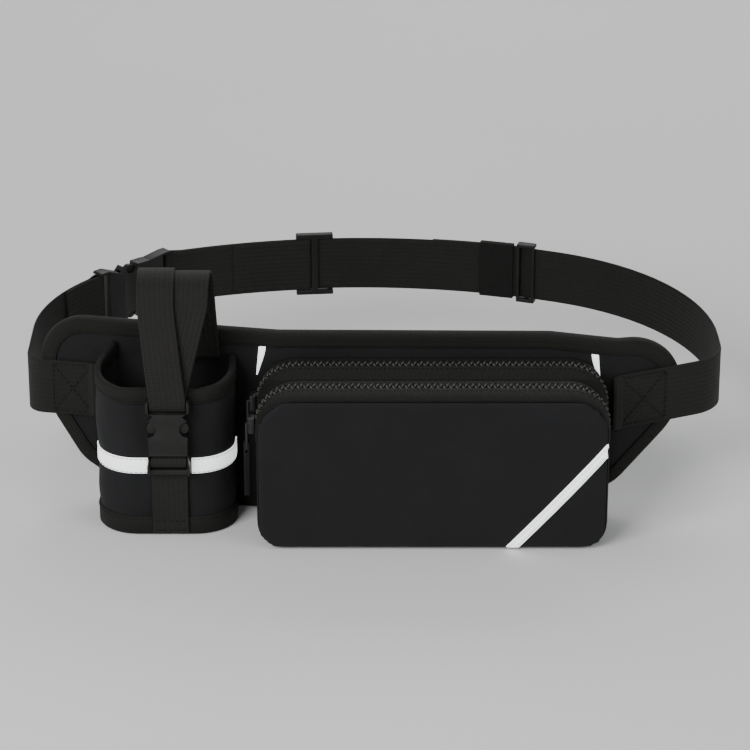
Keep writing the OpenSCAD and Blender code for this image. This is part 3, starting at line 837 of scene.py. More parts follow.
def build_panel_binding():
    """Tape folded over the panel's edge, a little puckered by its stitching."""
    half = PANEL_T / 2
    face = half + 0.8
    outside = [(2.2 - 2.2 * math.sin(t), face * math.cos(t)) for t in np.linspace(0, math.pi, 9)]
    rear = [(BINDING_W * 0.45, 0.1 - face), (BINDING_W - 2.0, 0.55 - face), (BINDING_W - 0.5, 0.2 - face),
            (BINDING_W, 0.7 - face), (BINDING_W - 0.6, 0.9 - half), (4, 0.6 - half)]
    section = outside + rear + [(1.0, 0)] + [(inset, -height) for inset, height in rear[::-1]]
    rows = []
    for i, (p, n) in enumerate(zip(*hull_ring(PANEL_CORNERS, 2.5))):
        pucker = 0.18 * math.sin(i * 1.9) + 0.12 * math.sin(i * 0.63)
        row = []
        for inset, height in section:
            x, z = p - n * inset
            lift = height + math.copysign(pucker, height) * (inset > 3)
            row.append((x, panel_front(x) + half - lift, z))
        rows.append(row)
    binding = loft("panel_binding_tape", rows, round_rows=True, round_columns=True)
    finish_piece(binding, BINDING, "binding_tape", "bag", "panel_binding")
    front_line = panel_ring(2.0, BINDING_W - 2.0, -0.4)
    rear_line = panel_ring(2.0, BINDING_W - 2.0, PANEL_T + 0.4)
    stitches("panel_binding_stitches", [(front_line, -AXES[1]), (rear_line, AXES[1])])


# ---- pouch ----

def build_pouch_front():
    """The padded front of the pouch, crowned between its seams and a little slack."""
    pad = prism("pouch_front", POUCH_CORNERS, 1.0, FRONT_Y + 0.9, FRONT_Y + 4.6, 2.5)
    points = co_of(pad)
    depth = inside_by(POUCH_CORNERS, points[:, [0, 2]])
    rear = points[:, 1] > FRONT_Y + 3
    puffed(pad, np.where(rear, 1.0, 1 - smoothstep(depth, 2, 12) * 0.97), 3.0, 3.0)
    points = co_of(pad)
    front = points[:, 1] < FRONT_Y + 2.8
    points[:, 1] -= np.where(front, crown(depth - 1, 1.6, 16), 0)
    slack = ripple(points * [1, 0, 1], 85, 11) * 0.5 + ripple(points * [1, 0, 2.2], 34, 12) * 0.16
    points[:, 1] += np.where(front, slack * smoothstep(depth, 2, 14), 0)
    points[:, 2] -= SEAM_DROP * smoothstep(points[:, 2], SEAM_DROP_FROM, SEAM_DROP_TO)
    points[:, 2] = np.maximum(points[:, 2], 0.4)
    set_co(pad, points)
    subdivide(pad)
    finish_piece(pad, SHELL, "shell_fabric", "bag", "pouch_front_panel", "pocket_divider")
    return pad


def gusset_offset(t, ring_z):
    """How far a gusset stands in from the pouch's outline at a share t of its width."""
    swell = np.sin(math.pi * np.clip(t, 0, 1)) ** 0.7
    return -SEAM_INSET + (SEAM_INSET - 0.15) * swell - 0.15 * (1 - smoothstep(ring_z, 0.0, 12.0))


def build_gusset(name, y0, y1, zip_y, node_name):
    """One pocket's gusset, open where its zip runs."""
    side = 6
    columns = [*np.linspace(y0, zip_y - SLOT_HALF, side), *np.linspace(zip_y + SLOT_HALF, y1, side)]
    ring, up = hull_ring(POUCH_CORNERS, 3.0)
    rows = []
    for p, n in zip(ring, up):
        row = []
        for y in columns:
            t = (y - y0) / (y1 - y0)
            crease = 0.22 * math.sin(p[0] * 0.16 + y * 0.21) * math.sin(math.pi * t)
            row.append(pouch_point(p + n * (gusset_offset(t, p[1]) + crease * (p[1] > 4)), y, 0.35))
        rows.append(row)
    zipped = ring[:, 1] > ZIP_LOW - 1
    gusset = loft(name, rows, round_rows=True,
                  skip=lambda i, k: k == side - 1 and zipped[i] and zipped[(i + 1) % len(ring)])
    thicken(gusset, 1.0, 1)
    # the gusset takes the darker copy of the shell cloth: painted shade on its top-facing strip
    finish_piece(gusset, GUSSET_PAINTED_SHADE_CLOTH, "shell_fabric", "bag", node_name)


def tape_height(y, y0, y1, share):
    """The tape's height over the pouch's outline, from its sewn edge to the coil."""
    drop = seam_drop(POUCH_H, y) if y0 < FRONT_ZIP_Y else 0
    curl = 0.3 * float(smoothstep(share, 0, 0.2)) - 0.55 * float(smoothstep(share, 0.6, 1))
    return curl + float(gusset_offset((y - y0) / (y1 - y0), POUCH_H)) - drop


def build_zip_tapes(name, y0, y1, zip_y, node_name):
    """The two halves of a zip's tape, sewn down beside the coil."""
    line, out = arch_run(zip_y, ZIP_LOW - 1 + pouch_rise(zip_y), 3.0)
    shares = np.linspace(0, 1, 9)
    sewn = []
    for half, side, seam in (("front", -1, y0), ("rear", 1, y1)):
        def run(share, under=0.0):
            """The line along the zip at a share of the tape's width from its seam, or under its top."""
            y = seam - side * 0.7 + (zip_y + side * 1.4 - (seam - side * 0.7)) * share
            height = tape_height(y, y0, y1, share) + pouch_rise(y) - pouch_rise(zip_y)
            return lift_xz(line + out * (height - under), y)

        runs = [run(share) for share in shares] + [run(share, 0.6) for share in shares[::-1]]
        tape = loft(f"{name}_{half}", np.transpose(runs[::-side], (1, 0, 2)), round_columns=True, caps=True)
        finish_piece(tape, ZIP_TAPE, "zip_tape", "bag", *([node_name] if side < 0 else []))
        sewn.append((run(0.62), lift_xz(out, 0)))
    stitches(f"{name}_stitches", sewn, pitch=3.0, length=2.1, radius=0.22)


def build_coil(name, zip_y, node_name):
    """Interlocked coil: two rows of slanted teeth, half a pitch apart, over a core strip."""
    line, out = arch_run(zip_y, ZIP_LOW + pouch_rise(zip_y), 1.0)
    at = lengths(line)
    rings, around = 7, 8
    points, faces = [], []
    for k in range(int(at[-1] / (TOOTH_PITCH / 2))):
        side = 1 if k % 2 else -1
        s = (k + 0.5) * TOOTH_PITCH / 2
        base = lift_xz([place_on(line, at, s)], zip_y)[0]
        up = lift_xz([unit(place_on(out, at, s))], 0)[0]
        along = np.array([up[2], 0, -up[0]])
        tooth = tube_faces(len(points), rings, around)
        faces += [face[::-side] for face in tooth]
        for t in np.linspace(0, 1, rings):
            reach = -0.35 + (COIL_HALF + 0.35) * t
            fat = 0.85 * math.sqrt(max(1 - (2 * t - 1) ** 4, 0.06))
            height = -0.5 + 0.4 * math.sin(math.pi * (0.3 + 0.6 * t)) + 0.2 * reach * side
            centre = base + up * height + AXES[1] * side * reach + along * (1.5 * t - 0.75)
            points += [centre + fat * (x * along * 0.85 + z * up) for x, z in circle(around)]
    finish_piece(mesh_piece(name, points, faces), COIL, "zip_coil", "bag", node_name)
    strip = [(-3.3, -1.6), (-3.3, -1.2), (0, -0.9), (3.3, -1.2), (3.3, -1.6)]
    rows = [[(p[0] + n[0] * h, zip_y + y, p[1] + n[1] * h) for y, h in strip]
            for p, n in zip(line[::2], out[::2])]
    core = loft(f"{name}_core", rows, round_columns=True, caps=True)
    finish_piece(core, ZIP_TAPE, "zip_tape", "bag")


def build_seam_cord(name, y, inset, radius):
    """A rolled seam sunk between two panels of the pouch, in near-black cloth: painted shade that deepens the
    dark line of its groove.
    """
    rows = []
    for p, n in zip(*hull_ring(POUCH_CORNERS, 3.0)):
        ring = [(pouch_point(p + n * (radius * c - inset), y, 0.3), s) for c, s in circle(8)]
        rows.append([(x, depth + radius * s, z) for (x, depth, z), s in ring])
    seam = loft(name, rows, round_rows=True, round_columns=True)
    finish_piece(seam, SEAM_PAINTED_SHADE_CLOTH, "binding_tape", "bag")


# ---- bevelled hard parts ----

def carved(part, cuts):
    """The part with boxes, given by their two corners in millimetres, cut away."""
    points, faces = [], []
    for low, high in cuts:
        first = len(points)
        points += [(x, y, z) for x in (low[0], high[0]) for y in (low[1], high[1]) for z in (low[2], high[2])]
        faces += [[first + i for i in f] for f in
                  ((0, 1, 3, 2), (4, 6, 7, 5), (0, 4, 5, 1), (2, 3, 7, 6), (0, 2, 6, 4), (1, 5, 7, 3))]
    cutter = mesh_piece("cutter", points, faces, smooth=False)
    cut = part.modifiers.new("slots", "BOOLEAN")
    cut.operation = "DIFFERENCE"
    cut.object = cutter
    cut.solver = "EXACT"
    cut.use_self = True
    applied(part)
    bpy.data.objects.remove(cutter)
    part.data.polygons.foreach_set("use_smooth", [False] * len(part.data.polygons))
    return part


def hard_part(name, source, material, slot, body, bevel):
    """A moulded or cast part: its CAD solid with every edge rounded."""
    part = bpy.data.objects.new(name, frame["nodes"][source].data.copy())
    bpy.context.scene.collection.objects.link(part)
    if source in ("bottle_socket", "bottle_plug"):
        points = co_of(part)
        points[:, 0] = STRAP_X + (points[:, 0] - STRAP_X) * NARROW
        set_co(part, points)
    if source == "bottle_plug":
        carved(part, PLUG_CUTS)
    mesh = part.data
    work = bmesh.new()
    work.from_mesh(mesh)
    bmesh.ops.remove_doubles(work, verts=work.verts, dist=0.00001)
    bmesh.ops.dissolve_limit(work, angle_limit=math.radians(2), verts=work.verts, edges=work.edges)
    work.to_mesh(mesh)
    work.free()
    edges = part.modifiers.new("edges", "BEVEL")
    edges.width = bevel * MM
    edges.segments = 2
    edges.limit_method = "ANGLE"
    edges.angle_limit = math.radians(28)
    part.modifiers.new("shading", "WEIGHTED_NORMAL").keep_sharp = True
    applied(part)
    finish_piece(part, material, slot, body, source)


# ---- bottle pocket ----

def pocket_path(step):
    """Plan of the bottle pocket from the panel and back: points, outward normals and shares of the run."""
    left, right = BOTTLE_X - BOTTLE_HALF, BOTTLE_X + BOTTLE_HALF
    mid = BOTTLE_FRONT + BOTTLE_R
    curve = arc((left + BOTTLE_R, mid), BOTTLE_R, 180 - math.degrees(BOTTLE_LEAN), 270, 16)
    back = curve[0]
    for _ in range(12):
        run = float(panel_front(back[0])) - PANEL_GAP - curve[0][1]
        back = np.array([curve[0][0] + run * math.tan(BOTTLE_LEAN), curve[0][1] + run])
    line = resample(np.concatenate([
        [back], curve, arc((right - BOTTLE_R, mid), BOTTLE_R, 270, 360, 14),
        [[right, float(panel_front(right)) - PANEL_GAP]],
    ]), step)
    along = unit(np.gradient(line, axis=0))
    return line, np.stack([along[:, 1], -along[:, 0]], axis=1), lengths(line) / lengths(line)[-1]


def rim_z(y):
    return BOTTLE_H + RIM_SLOPE * (np.asarray(y) - BOTTLE_FRONT)


def pocket_bulge(s, z):
    """How far the pocket's wall stands out at a share s of its run and at height z."""
    free = np.sin(math.pi * np.clip(s, 0, 1)) ** 0.35
    above = np.sin(math.pi * np.clip((z - BAND_Z - 5) / (BOTTLE_H - BAND_Z - 8), 0, 1))
    below = np.sin(math.pi * np.clip((z - BASE_BAND) / (BAND_Z - 5 - BASE_BAND), 0, 1))
    folds = 0.45 * np.sin(s * 31 + z * 0.11) * above + 0.35 * np.sin(s * 23 - z * 0.16) * below
    return free * (1.1 * above + 0.8 * below + folds)


def beside_pocket(p, n, off, z):
    """A point at height z off the pocket's plan line, kept in front of the panel."""
    x, y = p + n * off
    return (x, min(y, float(panel_front(x)) - 0.2), z)


def pocket_point(p, n, s, z, off):
    """A point off the bulging wall."""
    return beside_pocket(p, n, off + pocket_bulge(s, z), z)


def build_bottle_pocket():
    """The pocket's wall and its floor."""
    line, out, share = pocket_path(2.5)
    rows = []
    for p, n, s in zip(line, out, share):
        top = float(rim_z(p[1])) - 0.8
        heights = np.concatenate([[1.2, 3, 6], np.linspace(BASE_BAND - 2, BAND_Z - 6, 8),
                                  np.linspace(BAND_Z - 4, BAND_Z + 4, 4), np.linspace(BAND_Z + 6, top, 14)])
        rows.append([pocket_point(p, n, s, z, -0.1 - 1.6 * (1 - smoothstep(z, 0, 5))) for z in heights])
    wall = loft("bottle_pocket_shell", rows)
    thicken(wall, BOTTLE_WALL - 0.2, 1)
    finish_piece(wall, SHELL, "shell_fabric", "bag", "bottle_pocket_wall")

    rows = [[(*(p - n * inset), z) for p, n in zip(line, out)]
            for inset, z in ((0.5, 2.6), (0.6, 1.4), (1.6, 0.5), (4, 0.3))]
    rows.append([(BOTTLE_X + (x - BOTTLE_X) * 0.7, y + (PANEL_Y - y) * 0.3, 0.45) for x, y in line])
    rows.append([(BOTTLE_X + (x - BOTTLE_X) * 0.05, PANEL_Y - 3, 0.8) for x, _ in line])
    base = loft("bottle_pocket_floor", rows)
    thicken(base, 1.6, 1)
    finish_piece(base, SHELL, "shell_fabric", "bag", "bottle_pocket_base")


def band_around(name, run, low, high, lift, thick, material, slot, *nodes):
    """A flat tape round the pocket's outside between two heights."""
    mid, half = (low + high) / 2, (high - low) / 2
    top, under = lift + thick, lift - 0.8
    section = [(top, -half + 0.4), (top, 0), (top, half - 0.4), (lift + thick / 2, half),
               (under, half - 0.5), (under, 0), (under, -half + 0.5), (lift + thick / 2, -half)]
    rows = [[beside_pocket(p, n, off + pocket_bulge(s, mid), mid + dz) for off, dz in section]
            for p, n, s in zip(*run)]
    tape = loft(name, rows, round_columns=True, caps=True)
    finish_piece(tape, material, slot, "bag", *nodes)


def build_bottle_trim():
    """Rim and base binding, reflective band and their stitching."""
    line, out, share = pocket_path(2.0)
    width, inner = BINDING_W, -BOTTLE_WALL
    section = [(0.5, -width), (0.85, -width + 0.7), (0.9, -width / 2), (0.85, -1.2), (0.2, -0.3),
               (inner / 2, 0.05), (inner - 0.2, -0.3), (inner - 0.85, -1.2), (inner - 0.9, -width / 2),
               (inner - 0.85, -width + 0.7), (inner - 0.5, -width), (inner / 2, -width + 1)]
    rows = []
    for i, (p, n, s) in enumerate(zip(line, out, share)):
        top = float(rim_z(p[1]))
        uneven = 0.35 * math.sin(i * 0.21) + 0.2 * math.sin(i * 0.57)
        rows.append([beside_pocket(p, n, off + pocket_bulge(s, top + dz) * min(1, -dz / 3),
                                   top + dz + uneven * (dz > -2)) for off, dz in section])
    rim = loft("bottle_rim_tape", rows, round_columns=True, caps=True)
    finish_piece(rim, BINDING, "binding_tape", "bag", "bottle_rim_binding")
    band_around("bottle_base_tape", (line, out, share), 0.5, BASE_BAND, 0.1, 0.75,
                BINDING, "binding_tape", "bottle_base_binding")

    def sewn_row(heights, off, keep=slice(None)):
        heights = np.broadcast_to(heights, len(line))
        path = [pocket_point(p, n, s, z, off) for p, n, s, z in zip(line, out, share, heights)]
        return np.array(path)[keep], np.insert(out, 2, 0, axis=1)[keep]

    stitches("bottle_pocket_stitches",
             [sewn_row(rim_z(line[:, 1]) - width + 1.6, 0.95), sewn_row(BASE_BAND - 1.8, 0.95)])
    for side, name, end in BAND_ENDS:
        keep = ((line[:, 0] - STRAP_X) * side > STRAP_W / 2 + 0.6) & (line[:, 1] < end)
        band_around(f"bottle_reflective_{name}", (line[keep], out[keep], share[keep]),
                    BAND_Z - BAND_H / 2, BAND_Z + BAND_H / 2, 0.25, 0.55, PAINTED_GLOW_TAPE, "reflective_tape",
                    *(["bottle_reflective_band"] if side < 0 else []))
        sewn = [sewn_row(BAND_Z + dz, 0.9, keep) for dz in (-BAND_H / 2 + 0.9, BAND_H / 2 - 0.9)]
        stitches(f"bottle_band_stitches_{name}", sewn, pitch=3.0, length=2.2, radius=0.2)


def level_rows(x, y, half, heights):
    """Level rows of stitches across a webbing, facing the front."""
    return [(np.array([(x + dx, y, z) for dx in np.linspace(-half, half, 12)]), -AXES[1]) for z in heights]


def build_front_strip():
    """Webbing up the pocket's front, behind the plug's end bar, over its middle bar and down inside."""
    y = BOTTLE_FRONT - 0.85 - WEB_T / 2 - 0.4
    face = PLUG_FACE - 0.1
    path = [(y + 1.2, 1.5), (y, 4), (y, 14)]
    path += [(y + dy, PLUG_LOW + z) for dy, z in ((-0.2, -4), (-1.0, 1.5), (-2.2, 4.0))]
    path += [(face + dy, PLUG_LOW + z)
             for dy, z in ((2.0, 5.6), (0, 7.6), (0, 10.6), (2.2, 12.4), (4.4, 11.8))]
    path = relaxed(resample([(STRAP_X, *p) for p in path], 0.8), 3)
    strip = sweep("bottle_front_webbing", path, -AXES[0], strap_section(STRAP_W, WEB_T))
    finish_piece(strip, WEBBING, "webbing", "bag", "bottle_front_strip")
    stitches("bottle_front_stitches",
             level_rows(STRAP_X, y - WEB_T / 2 - 0.05, 10, (BASE_BAND - 2.5, BASE_BAND - 9)))


def strap_path(front_y, half, drop, x_top, x1):
    """Route of one leg over the bottle, from the socket's bar to the panel."""
    spring = ARCH_Z - 20
    low = SOCKET_SLOT_Z + 7
    rise = ARCH_Z - drop - WEB_T / 2 - spring
    front_top, back_top = ARCH_Y - half, ARCH_Y + half
    sewn_y = float(panel_front(x1 + STRAP_W / 2)) - TAB_OFF - 0.2
    path = [(STRAP_X, front_y, SOCKET_SLOT_Z), (STRAP_X, front_y, low)]
    for t in np.linspace(0.2, 0.8, 4):
        path.append((STRAP_X + (x_top - STRAP_X) * t,
                     front_y + (front_top - front_y) * float(smoothstep(t, 0, 1.25)),
                     low + (spring - low) * t))
    for t in np.linspace(0, 1, 13):
        a = math.pi * (1 - t)
        path.append((x_top + (x1 - x_top) * 0.5 * t, ARCH_Y + half * math.cos(a),
                     spring + rise * math.sin(a)))
    for t in np.linspace(1 / 6, 1, 6):
        path.append((x_top + (x1 - x_top) * (0.5 + 0.5 * t),
                     back_top + (sewn_y - back_top) * float(smoothstep(t, 0, 0.5)),
                     spring + (SEWN_Z - spring) * t))
    return path


def build_bottle_straps():
    """The strap's two legs, each from the socket's bar over the bottle to the panel."""
    reach = BAR_HALF + WEB_T / 2 + 0.1
    rows = []
    for name, side, half, drop, x_top, x1 in (("left", -1, 18, 0, STRAP_X - 7, STRAP_X - 7),
                                              ("right", 1, 15.5, PLY, STRAP_X + 14, STRAP_X + 20)):
        turn = [(STRAP_X, BUCKLE_Y + side * reach * math.cos(t), SOCKET_SLOT_Z - 1.6 * math.sin(t))
                for t in np.radians((80, 60, 40, 20))]
        path = turn + strap_path(BUCKLE_Y + side * reach, half, drop, x_top, x1)
        leg = sweep(f"bottle_strap_leg_{name}", relaxed(resample(path, 1.6), 3), -AXES[0],
                    strap_section(STRAP_W, WEB_T, 1.8))
        finish_piece(leg, WEBBING, "webbing", None, f"bottle_strap_{name}")
        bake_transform(leg)
        face = float(panel_front(x1)) - PANEL_GAP - WEB_T - 0.35
        rows += level_rows(x1, face - 0.1, 10.5, (SEWN_Z + 2, SEWN_Z + 5))
    stitches("bottle_strap_stitches", rows)


# ---- waist belt ----

def rear_point(a, radius=REAR_R):
    """Plan point of the rear arc at an angle."""
    t = math.radians(a)
    return np.array([REAR_C[0] + radius * math.sin(t), REAR_C[1] + radius * math.cos(t)])


def belt_ribbon(name, plan, body, node_name):
    """Upright webbing along a plan path."""
    plan = relaxed(resample(plan, 2.0), 1)
    path = np.concatenate([plan, np.full((len(plan), 1), BELT_Z)], axis=1)
    ribbon = sweep(name, path, AXES[2], strap_section(BELT_W, WEB_T))
    return finish_piece(ribbon, WEBBING, "webbing", body, node_name)


# the buckle's direction in plan, and the bars that the webbing turns round in its socket and plug
BELT_DIR = math.radians(180 - LEFT_START)
BELT_ALONG = np.array([math.cos(BELT_DIR), math.sin(BELT_DIR)])
BELT_OUT = np.array([-math.sin(BELT_DIR), math.cos(BELT_DIR)])
SOCKET_BAR = arc(LEFT_C, LEFT_R, LEFT_START, LEFT_START, 1)[0]
PLUG_BAR = SOCKET_BAR + (44 - 1.65 + 20 - 1.65) * BELT_ALONG


def round_bar(c, u, n):
    """Webbing that turns back round a bar: u points to the slot and n to the first side."""
    h = BAR_HALF + 0.1 + WEB_T / 2
    nose = [c + 1.2 * u + h * (math.cos(t) * n + math.sin(t) * u * 0.85)
            for t in np.radians(range(20, 180, 20))]
    return [c - 3 * u + h * n, c + 1.2 * u + h * n, *nose, c + 1.2 * u - h * n, c - 3 * u - h * n]


def wing_tab_y(x, slope, off=TAB_OFF):
    """Depth of a tab on a wing at x, off the panel along its normal."""
    return float(panel_front(x)) - off / math.cos(math.atan(slope))


def fold_centre(x, radius, slope, side):
    """Centre of the fold where a wing's tab turns back into the belt, and the wing's bend in degrees."""
    bend = math.atan(slope)
    tab_y = wing_tab_y(x + side * radius * math.sin(bend), slope)
    return (x, tab_y + radius * math.cos(bend)), math.degrees(bend)


def build_tab_end(name, x, slope, side):
    """The turned-under end of a tab: a soft roll across the webbing."""
    y = wing_tab_y(x, slope)
    rows = [[(x + side + 3.4 * c, y - 0.2 + 1.25 * s + slope * 3.4 * c * side, z) for c, s in circle(12)]
            for z in np.linspace(BELT_Z - BELT_W / 2 + 0.6, BELT_Z + BELT_W / 2 - 0.6, 16)]
    hem = loft(name, rows, round_columns=True, caps=True)
    finish_piece(hem, WEBBING, "webbing", "bag")


def build_left_belt():
    """From its tab on the left wing round to the socket's bar, and back inside."""
    slope = BEND_LEFT[1]
    centre, bend = fold_centre(LEFT_C[0] - LEFT_R + LEFT_FOLD_R, LEFT_FOLD_R, slope, -1)
    belt_ribbon("belt_left_strap", np.concatenate([
        [[LEFT_TAB_END, wing_tab_y(LEFT_TAB_END, slope)]],
        arc(centre, LEFT_FOLD_R, 270 - bend, 180, 8),
        arc(LEFT_C, LEFT_R, 180, LEFT_START + 4, 12),
        round_bar(SOCKET_BAR, BELT_ALONG, BELT_OUT),
        arc(LEFT_C, LEFT_R - PLY, LEFT_START + 4, LEFT_START + 16, 4),
    ]), "bag", "belt_left_webbing")
    build_tab_end("belt_left_tab_hem", LEFT_TAB_END, slope, -1)


def build_right_belt():
    """From its free tail over the rear webbing, through the tail adjuster, to its tab on the right wing."""
    slope = BEND_RIGHT[1]
    centre, bend = fold_centre(RIGHT_X - RIGHT_FOLD_R, RIGHT_FOLD_R, slope, 1)
    end = math.radians(REAR_END)
    right_c = rear_point(REAR_END) - RIGHT_R * np.array([math.sin(end), math.cos(end)])
    crossing = [rear_point(a, REAR_R + PLY * (1 - float(smoothstep(a, 18.2, 19.4))))
                for a in np.arange(18.4, 19.8, 0.4)]
    belt_ribbon("belt_right_strap", np.concatenate([
        [rear_point(a, REAR_R + PLY) for a in np.arange(TAIL_END_A, 17.6, 1.25)],
        crossing,
        arc(right_c, RIGHT_R, 90 - REAR_END, 0, 16),
        arc(centre, RIGHT_FOLD_R, 0, bend - 90, 10),
        [[RIGHT_TAB_END, wing_tab_y(RIGHT_TAB_END, slope)]],
    ]), "bag", "belt_right_webbing")
    build_tab_end("belt_right_tab_hem", RIGHT_TAB_END, slope, 1)


def build_rear_belt():
    """The rear webbing, its return layer to the adjuster, and the loop round the plug's bar."""
    start, end = LOOP_A - REAR_END, ADJUSTER_A - 0.45
    belt_ribbon("belt_rear_strap", [rear_point(a) for a in np.arange(start, 18.1, 1.25)],
                "bag", "belt_rear_webbing")
    plan = [rear_point(a, REAR_R - PLY) for a in np.linspace(start, end, 9)]
    layer = belt_ribbon("belt_return_layer", plan, None, "belt_fold_layer")
    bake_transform(layer)
    near = np.arange(LOOP_A, 1.9, -1.0) - REAR_END
    plan = [rear_point(a) for a in near] + round_bar(PLUG_BAR, -BELT_ALONG, BELT_OUT)
    plan += [rear_point(a, REAR_R - PLY) for a in near[::-1]]
    loop = belt_ribbon("belt_plug_strap", plan, None, "belt_plug_loop")
    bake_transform(loop)


def build_keeper():
    """Elastic sleeve round the belt's tail, a little uneven, with its ends drawn in."""
    half_y = (WEB_T + 0.9) * 0.45 + 0.3
    half_z = (BELT_W / 2 + 0.9) * 0.985
    section = [(half_y * sy + 1.15 * math.cos(t), half_z * sz + 0.7 * math.sin(t))
               for sy, sz, a0 in ((1, 1, 0), (-1, 1, 90), (-1, -1, 180), (1, -1, 270))
               for t in np.radians(np.linspace(a0, a0 + 90, 4))]
    centre = rear_point(KEEPER_A)
    cosine, sine = math.cos(math.radians(-KEEPER_A)), math.sin(math.radians(-KEEPER_A))
    outer, inner = [], []
    for x in np.concatenate([[-12, -11.8], np.linspace(-11, 11, 12), [11.8, 12]]):
        tight = 1.0 if abs(x) < 11.9 else 0.96
        swell = (1 + 0.005 * math.sin(x * 1.1)) * tight
        for rows, share_y, share_z in ((outer, 1, 1), (inner, 0.6, 0.97)):
            row = [(WEB_T / 2 + y * swell * share_y, z * tight * share_z) for y, z in section]
            rows.append([(centre[0] + x * cosine - y * sine, centre[1] + x * sine + y * cosine, BELT_Z + z)
                         for y, z in row])
    keeper = loft("belt_keeper_sleeve", outer + inner[::-1], round_rows=True, round_columns=True)
    finish_piece(keeper, ELASTIC, "keeper_elastic", "belt_keeper", "belt_keeper")


def build_tab_stitching():
    """A sewn box with its cross on each wing's tab."""
    half = BELT_W / 2 - 2.6
    rows = []
    for x0, x1, slope, side in ((-209, LEFT_TAB_END - 2, BEND_LEFT[1], -1),
                                (RIGHT_TAB_END + 3, 188, BEND_RIGHT[1], 1)):
        up = unit(np.array([slope * side, -1, 0]))
        c = [(x0, BELT_Z - half), (x1, BELT_Z - half), (x1, BELT_Z + half), (x0, BELT_Z + half)]
        for a, b in ((0, 1), (1, 2), (2, 3), (3, 0), (0, 2), (1, 3)):
            run = np.linspace(c[a], c[b], 12)
            path = [(x, wing_tab_y(x, slope, TAB_OFF + WEB_T / 2 + 0.05), z) for x, z in run]
            rows.append((np.array(path), up))
    stitches("belt_tab_stitches", rows, pitch=3.2, length=2.5, radius=0.34)


# ---- reflective trim ----

def build_diagonal(front_tree):
    """The reflective strip, with its painted glow, across the pouch's lower right corner, lying on the padded
    front.
    """
    slope = math.radians(49)
    start = np.array([80, -6])
    direction = np.array([math.cos(slope), math.sin(slope)])
    side = np.array([-direction[1], direction[0]])
    steps = np.arange(0, 120, 1.5)
    rows = []
    for k in np.linspace(-3.2, 3.2, 5):
        inside = steps[inside_by(POUCH_CORNERS, start + steps[:, None] * direction + side * k) > 1.8]
        rows.append([start + t * direction + side * k for t in np.linspace(inside[0], inside[-1], 60)])
    placed = laid_on(front_tree, rows, FRONT_Y, 0.3)
    strip = loft("reflective_diagonal_strip", placed.transpose(1, 0, 2))
    thicken(strip, 0.5, 0, even=False)
    finish_piece(strip, PAINTED_GLOW_TAPE, "reflective_tape", "bag", "reflective_diagonal")
    sewn = [(placed[k] + [0, -0.25, 0], -AXES[1]) for k in (1, 3)]
    stitches("reflective_diagonal_stitches", sewn, pitch=3.0, length=2.2, radius=0.18)


def build_flash(node_name, panel_tree):
    """A wedge of reflective tape that stands on its outer tip."""
    low, high = corners(node_name)
    side = 1 if low[0] < 0 else -1
    tip = low[0] if side > 0 else high[0]
    height = high[2] - low[2]
    rows = [[(tip + side * (1.8 * t + (0.8 + 4.7 * t - t ** 6) * s), low[2] + height * t - (1 - s) * 0.6 * t)
             for s in np.linspace(0, 1, 4)] for t in np.linspace(0, 1, 12)]
    placed = laid_on(panel_tree, rows, PANEL_Y, 0.35)
    flash = loft(f"{node_name}_patch", placed[:, ::-side])
    thicken(flash, 0.5, 0, even=False)
    finish_piece(flash, PAINTED_GLOW_TAPE, "reflective_tape", "bag", node_name)


# ---- everything ----

panel_pad = build_panel()
build_panel_binding()
pouch_pad = build_pouch_front()
for pocket, y0, y1, zip_y in (("front", SEAM_FRONT, DIVIDER_Y, FRONT_ZIP_Y),
                              ("main", DIVIDER_Y, POUCH_BACK, MAIN_ZIP_Y)):
    build_gusset(f"{pocket}_gusset", y0, y1, zip_y, f"{pocket}_pocket_gusset")
    build_zip_tapes(f"{pocket}_zip_tape_strip", y0, y1, zip_y, f"{pocket}_zip_tape")
    build_coil(f"{pocket}_zip_teeth", zip_y, f"{pocket}_zip_coil")
build_seam_cord("front_seam", SEAM_FRONT + 0.4, 2.2, 0.7)
build_seam_cord("divider_seam", DIVIDER_Y, 1.7, 0.8)
build_seam_cord("rear_seam", POUCH_BACK - 0.6, 1.7, 0.7)
build_diagonal(surface_tree(pouch_pad))
panel_tree = surface_tree(panel_pad)
build_flash("reflective_flash_left", panel_tree)
build_flash("reflective_flash_right", panel_tree)
build_bottle_pocket()
build_bottle_trim()
build_front_strip()
build_bottle_straps()
build_left_belt()
build_right_belt()
build_rear_belt()
build_keeper()
build_tab_stitching()

# piece, CAD node, body and width of its rounded edges, by material and slot
HARD_PARTS = (
    (METAL, "zip_metal", (
        ("front_slider_body", "front_zip_slider", "front_slider", 0.5),
        ("main_slider_body", "main_zip_slider", "main_slider", 0.5),
        ("front_pull_plate", "front_zip_pull", "front_pull", 0.3),
        ("main_pull_plate", "main_zip_pull", "main_pull", 0.3))),
    (TAB_CORD, "pull_cord", (
        ("front_pull_tape", "front_pull_tab", "front_pull", 0.3),)),
    (PLASTIC, "buckle_plastic", (
        ("bottle_plug_half", "bottle_plug", "bag", 0.6),
        ("bottle_socket_half", "bottle_socket", "bottle_socket", 0.8),
        ("bottle_prong_l", "bottle_prong_left", "bottle_prong_left", 0.4),
        ("bottle_prong_r", "bottle_prong_right", "bottle_prong_right", 0.4),
        ("belt_socket_half", "belt_socket", "bag", 0.8),
        ("belt_plug_half", "belt_plug", "belt_plug", 0.6),
        ("belt_prong_top", "belt_prong_upper", "belt_prong_upper", 0.4),
        ("belt_prong_bottom", "belt_prong_lower", "belt_prong_lower", 0.4),
        ("belt_slide", "belt_adjuster", "belt_adjuster", 0.5),
        ("belt_tail_slide", "belt_tail_adjuster", "bag", 0.5))),
)
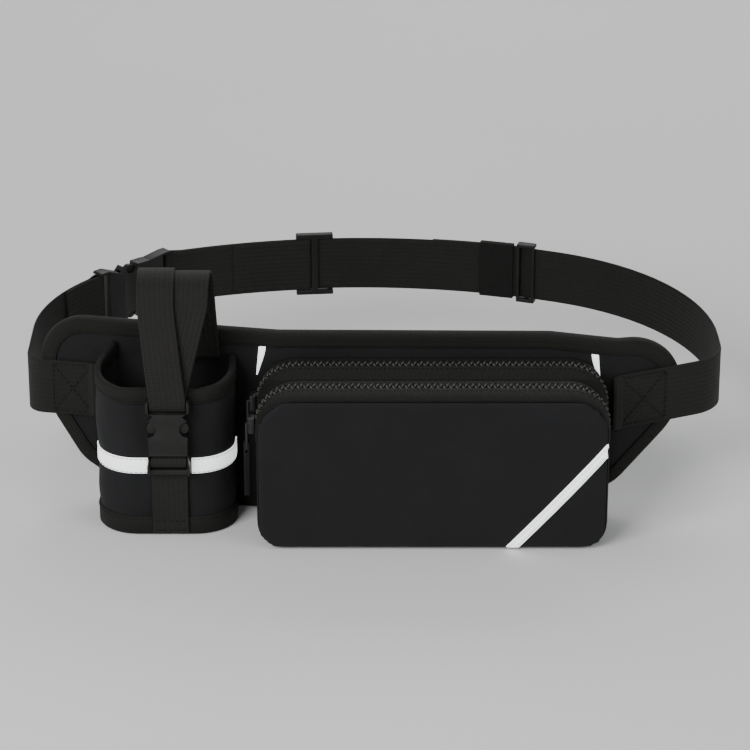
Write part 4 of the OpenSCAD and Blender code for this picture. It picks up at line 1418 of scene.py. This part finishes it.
for material, slot, parts in HARD_PARTS:
    for part_name, source, body, bevel in parts:
        hard_part(part_name, source, material, slot, body, bevel)


# ---- stage, light and camera ----

def build_floor():
    """A pale floor that curves up behind the bag."""
    profile = [(-3.0, 0.0), (1.6, 0.0)]
    profile += [(1.6 + 1.2 * math.sin(t), 1.2 - 1.2 * math.cos(t)) for t in np.radians(range(10, 91, 10))]
    profile += [(2.8, 3.2)]
    rows = [[(x / MM, y / MM, (z - 0.0002) / MM) for x in (-4.0, 4.0)] for y, z in profile]
    floor = loft("studio_floor", rows)
    floor.data.materials.append(stage_floor("studio_floor"))


def area_light(name, place, aim, size, power):
    lamp = bpy.data.lights.new(name, "AREA")
    lamp.shape = "RECTANGLE"
    lamp.size, lamp.size_y = size
    lamp.energy = power
    holder = bpy.data.objects.new(name, lamp)
    holder.location = place
    holder.rotation_euler = (Vector(aim) - Vector(place)).to_track_quat("-Z", "Y").to_euler()
    bpy.context.scene.collection.objects.link(holder)


def build_light():
    world = bpy.data.worlds.new("studio")
    world.use_nodes = True
    background = world.node_tree.nodes["Background"]
    background.inputs[0].default_value = rgb(0.9, 0.92, 0.95)
    background.inputs[1].default_value = 0.42
    bpy.context.scene.world = world
    middle = (0, 0, 0.06)
    area_light("key", (-1.1, -1.6, 1.15), middle, (1.2, 1.2), 44)
    area_light("fill", (1.5, -1.2, 0.9), middle, (1.4, 1.0), 12)
    area_light("rim", (0.2, 1.5, 1.3), middle, (1.8, 0.8), 16)


def build_camera():
    """A long lens a little above the bag, square on to its front."""
    lens = bpy.data.cameras.new("camera")
    lens.lens = 160.7
    lens.sensor_width = 36
    lens.dof.use_dof = False
    camera = bpy.data.objects.new("camera", lens)
    aim = Vector((0, 0.003, 0.0546))
    tilt = math.radians(24)
    camera.location = aim + Vector((0, -math.cos(tilt), math.sin(tilt))) * 2.25
    camera.rotation_euler = (aim - camera.location).to_track_quat("-Z", "Y").to_euler()
    bpy.context.scene.collection.objects.link(camera)
    bpy.context.scene.camera = camera


build_floor()
build_light()
build_camera()
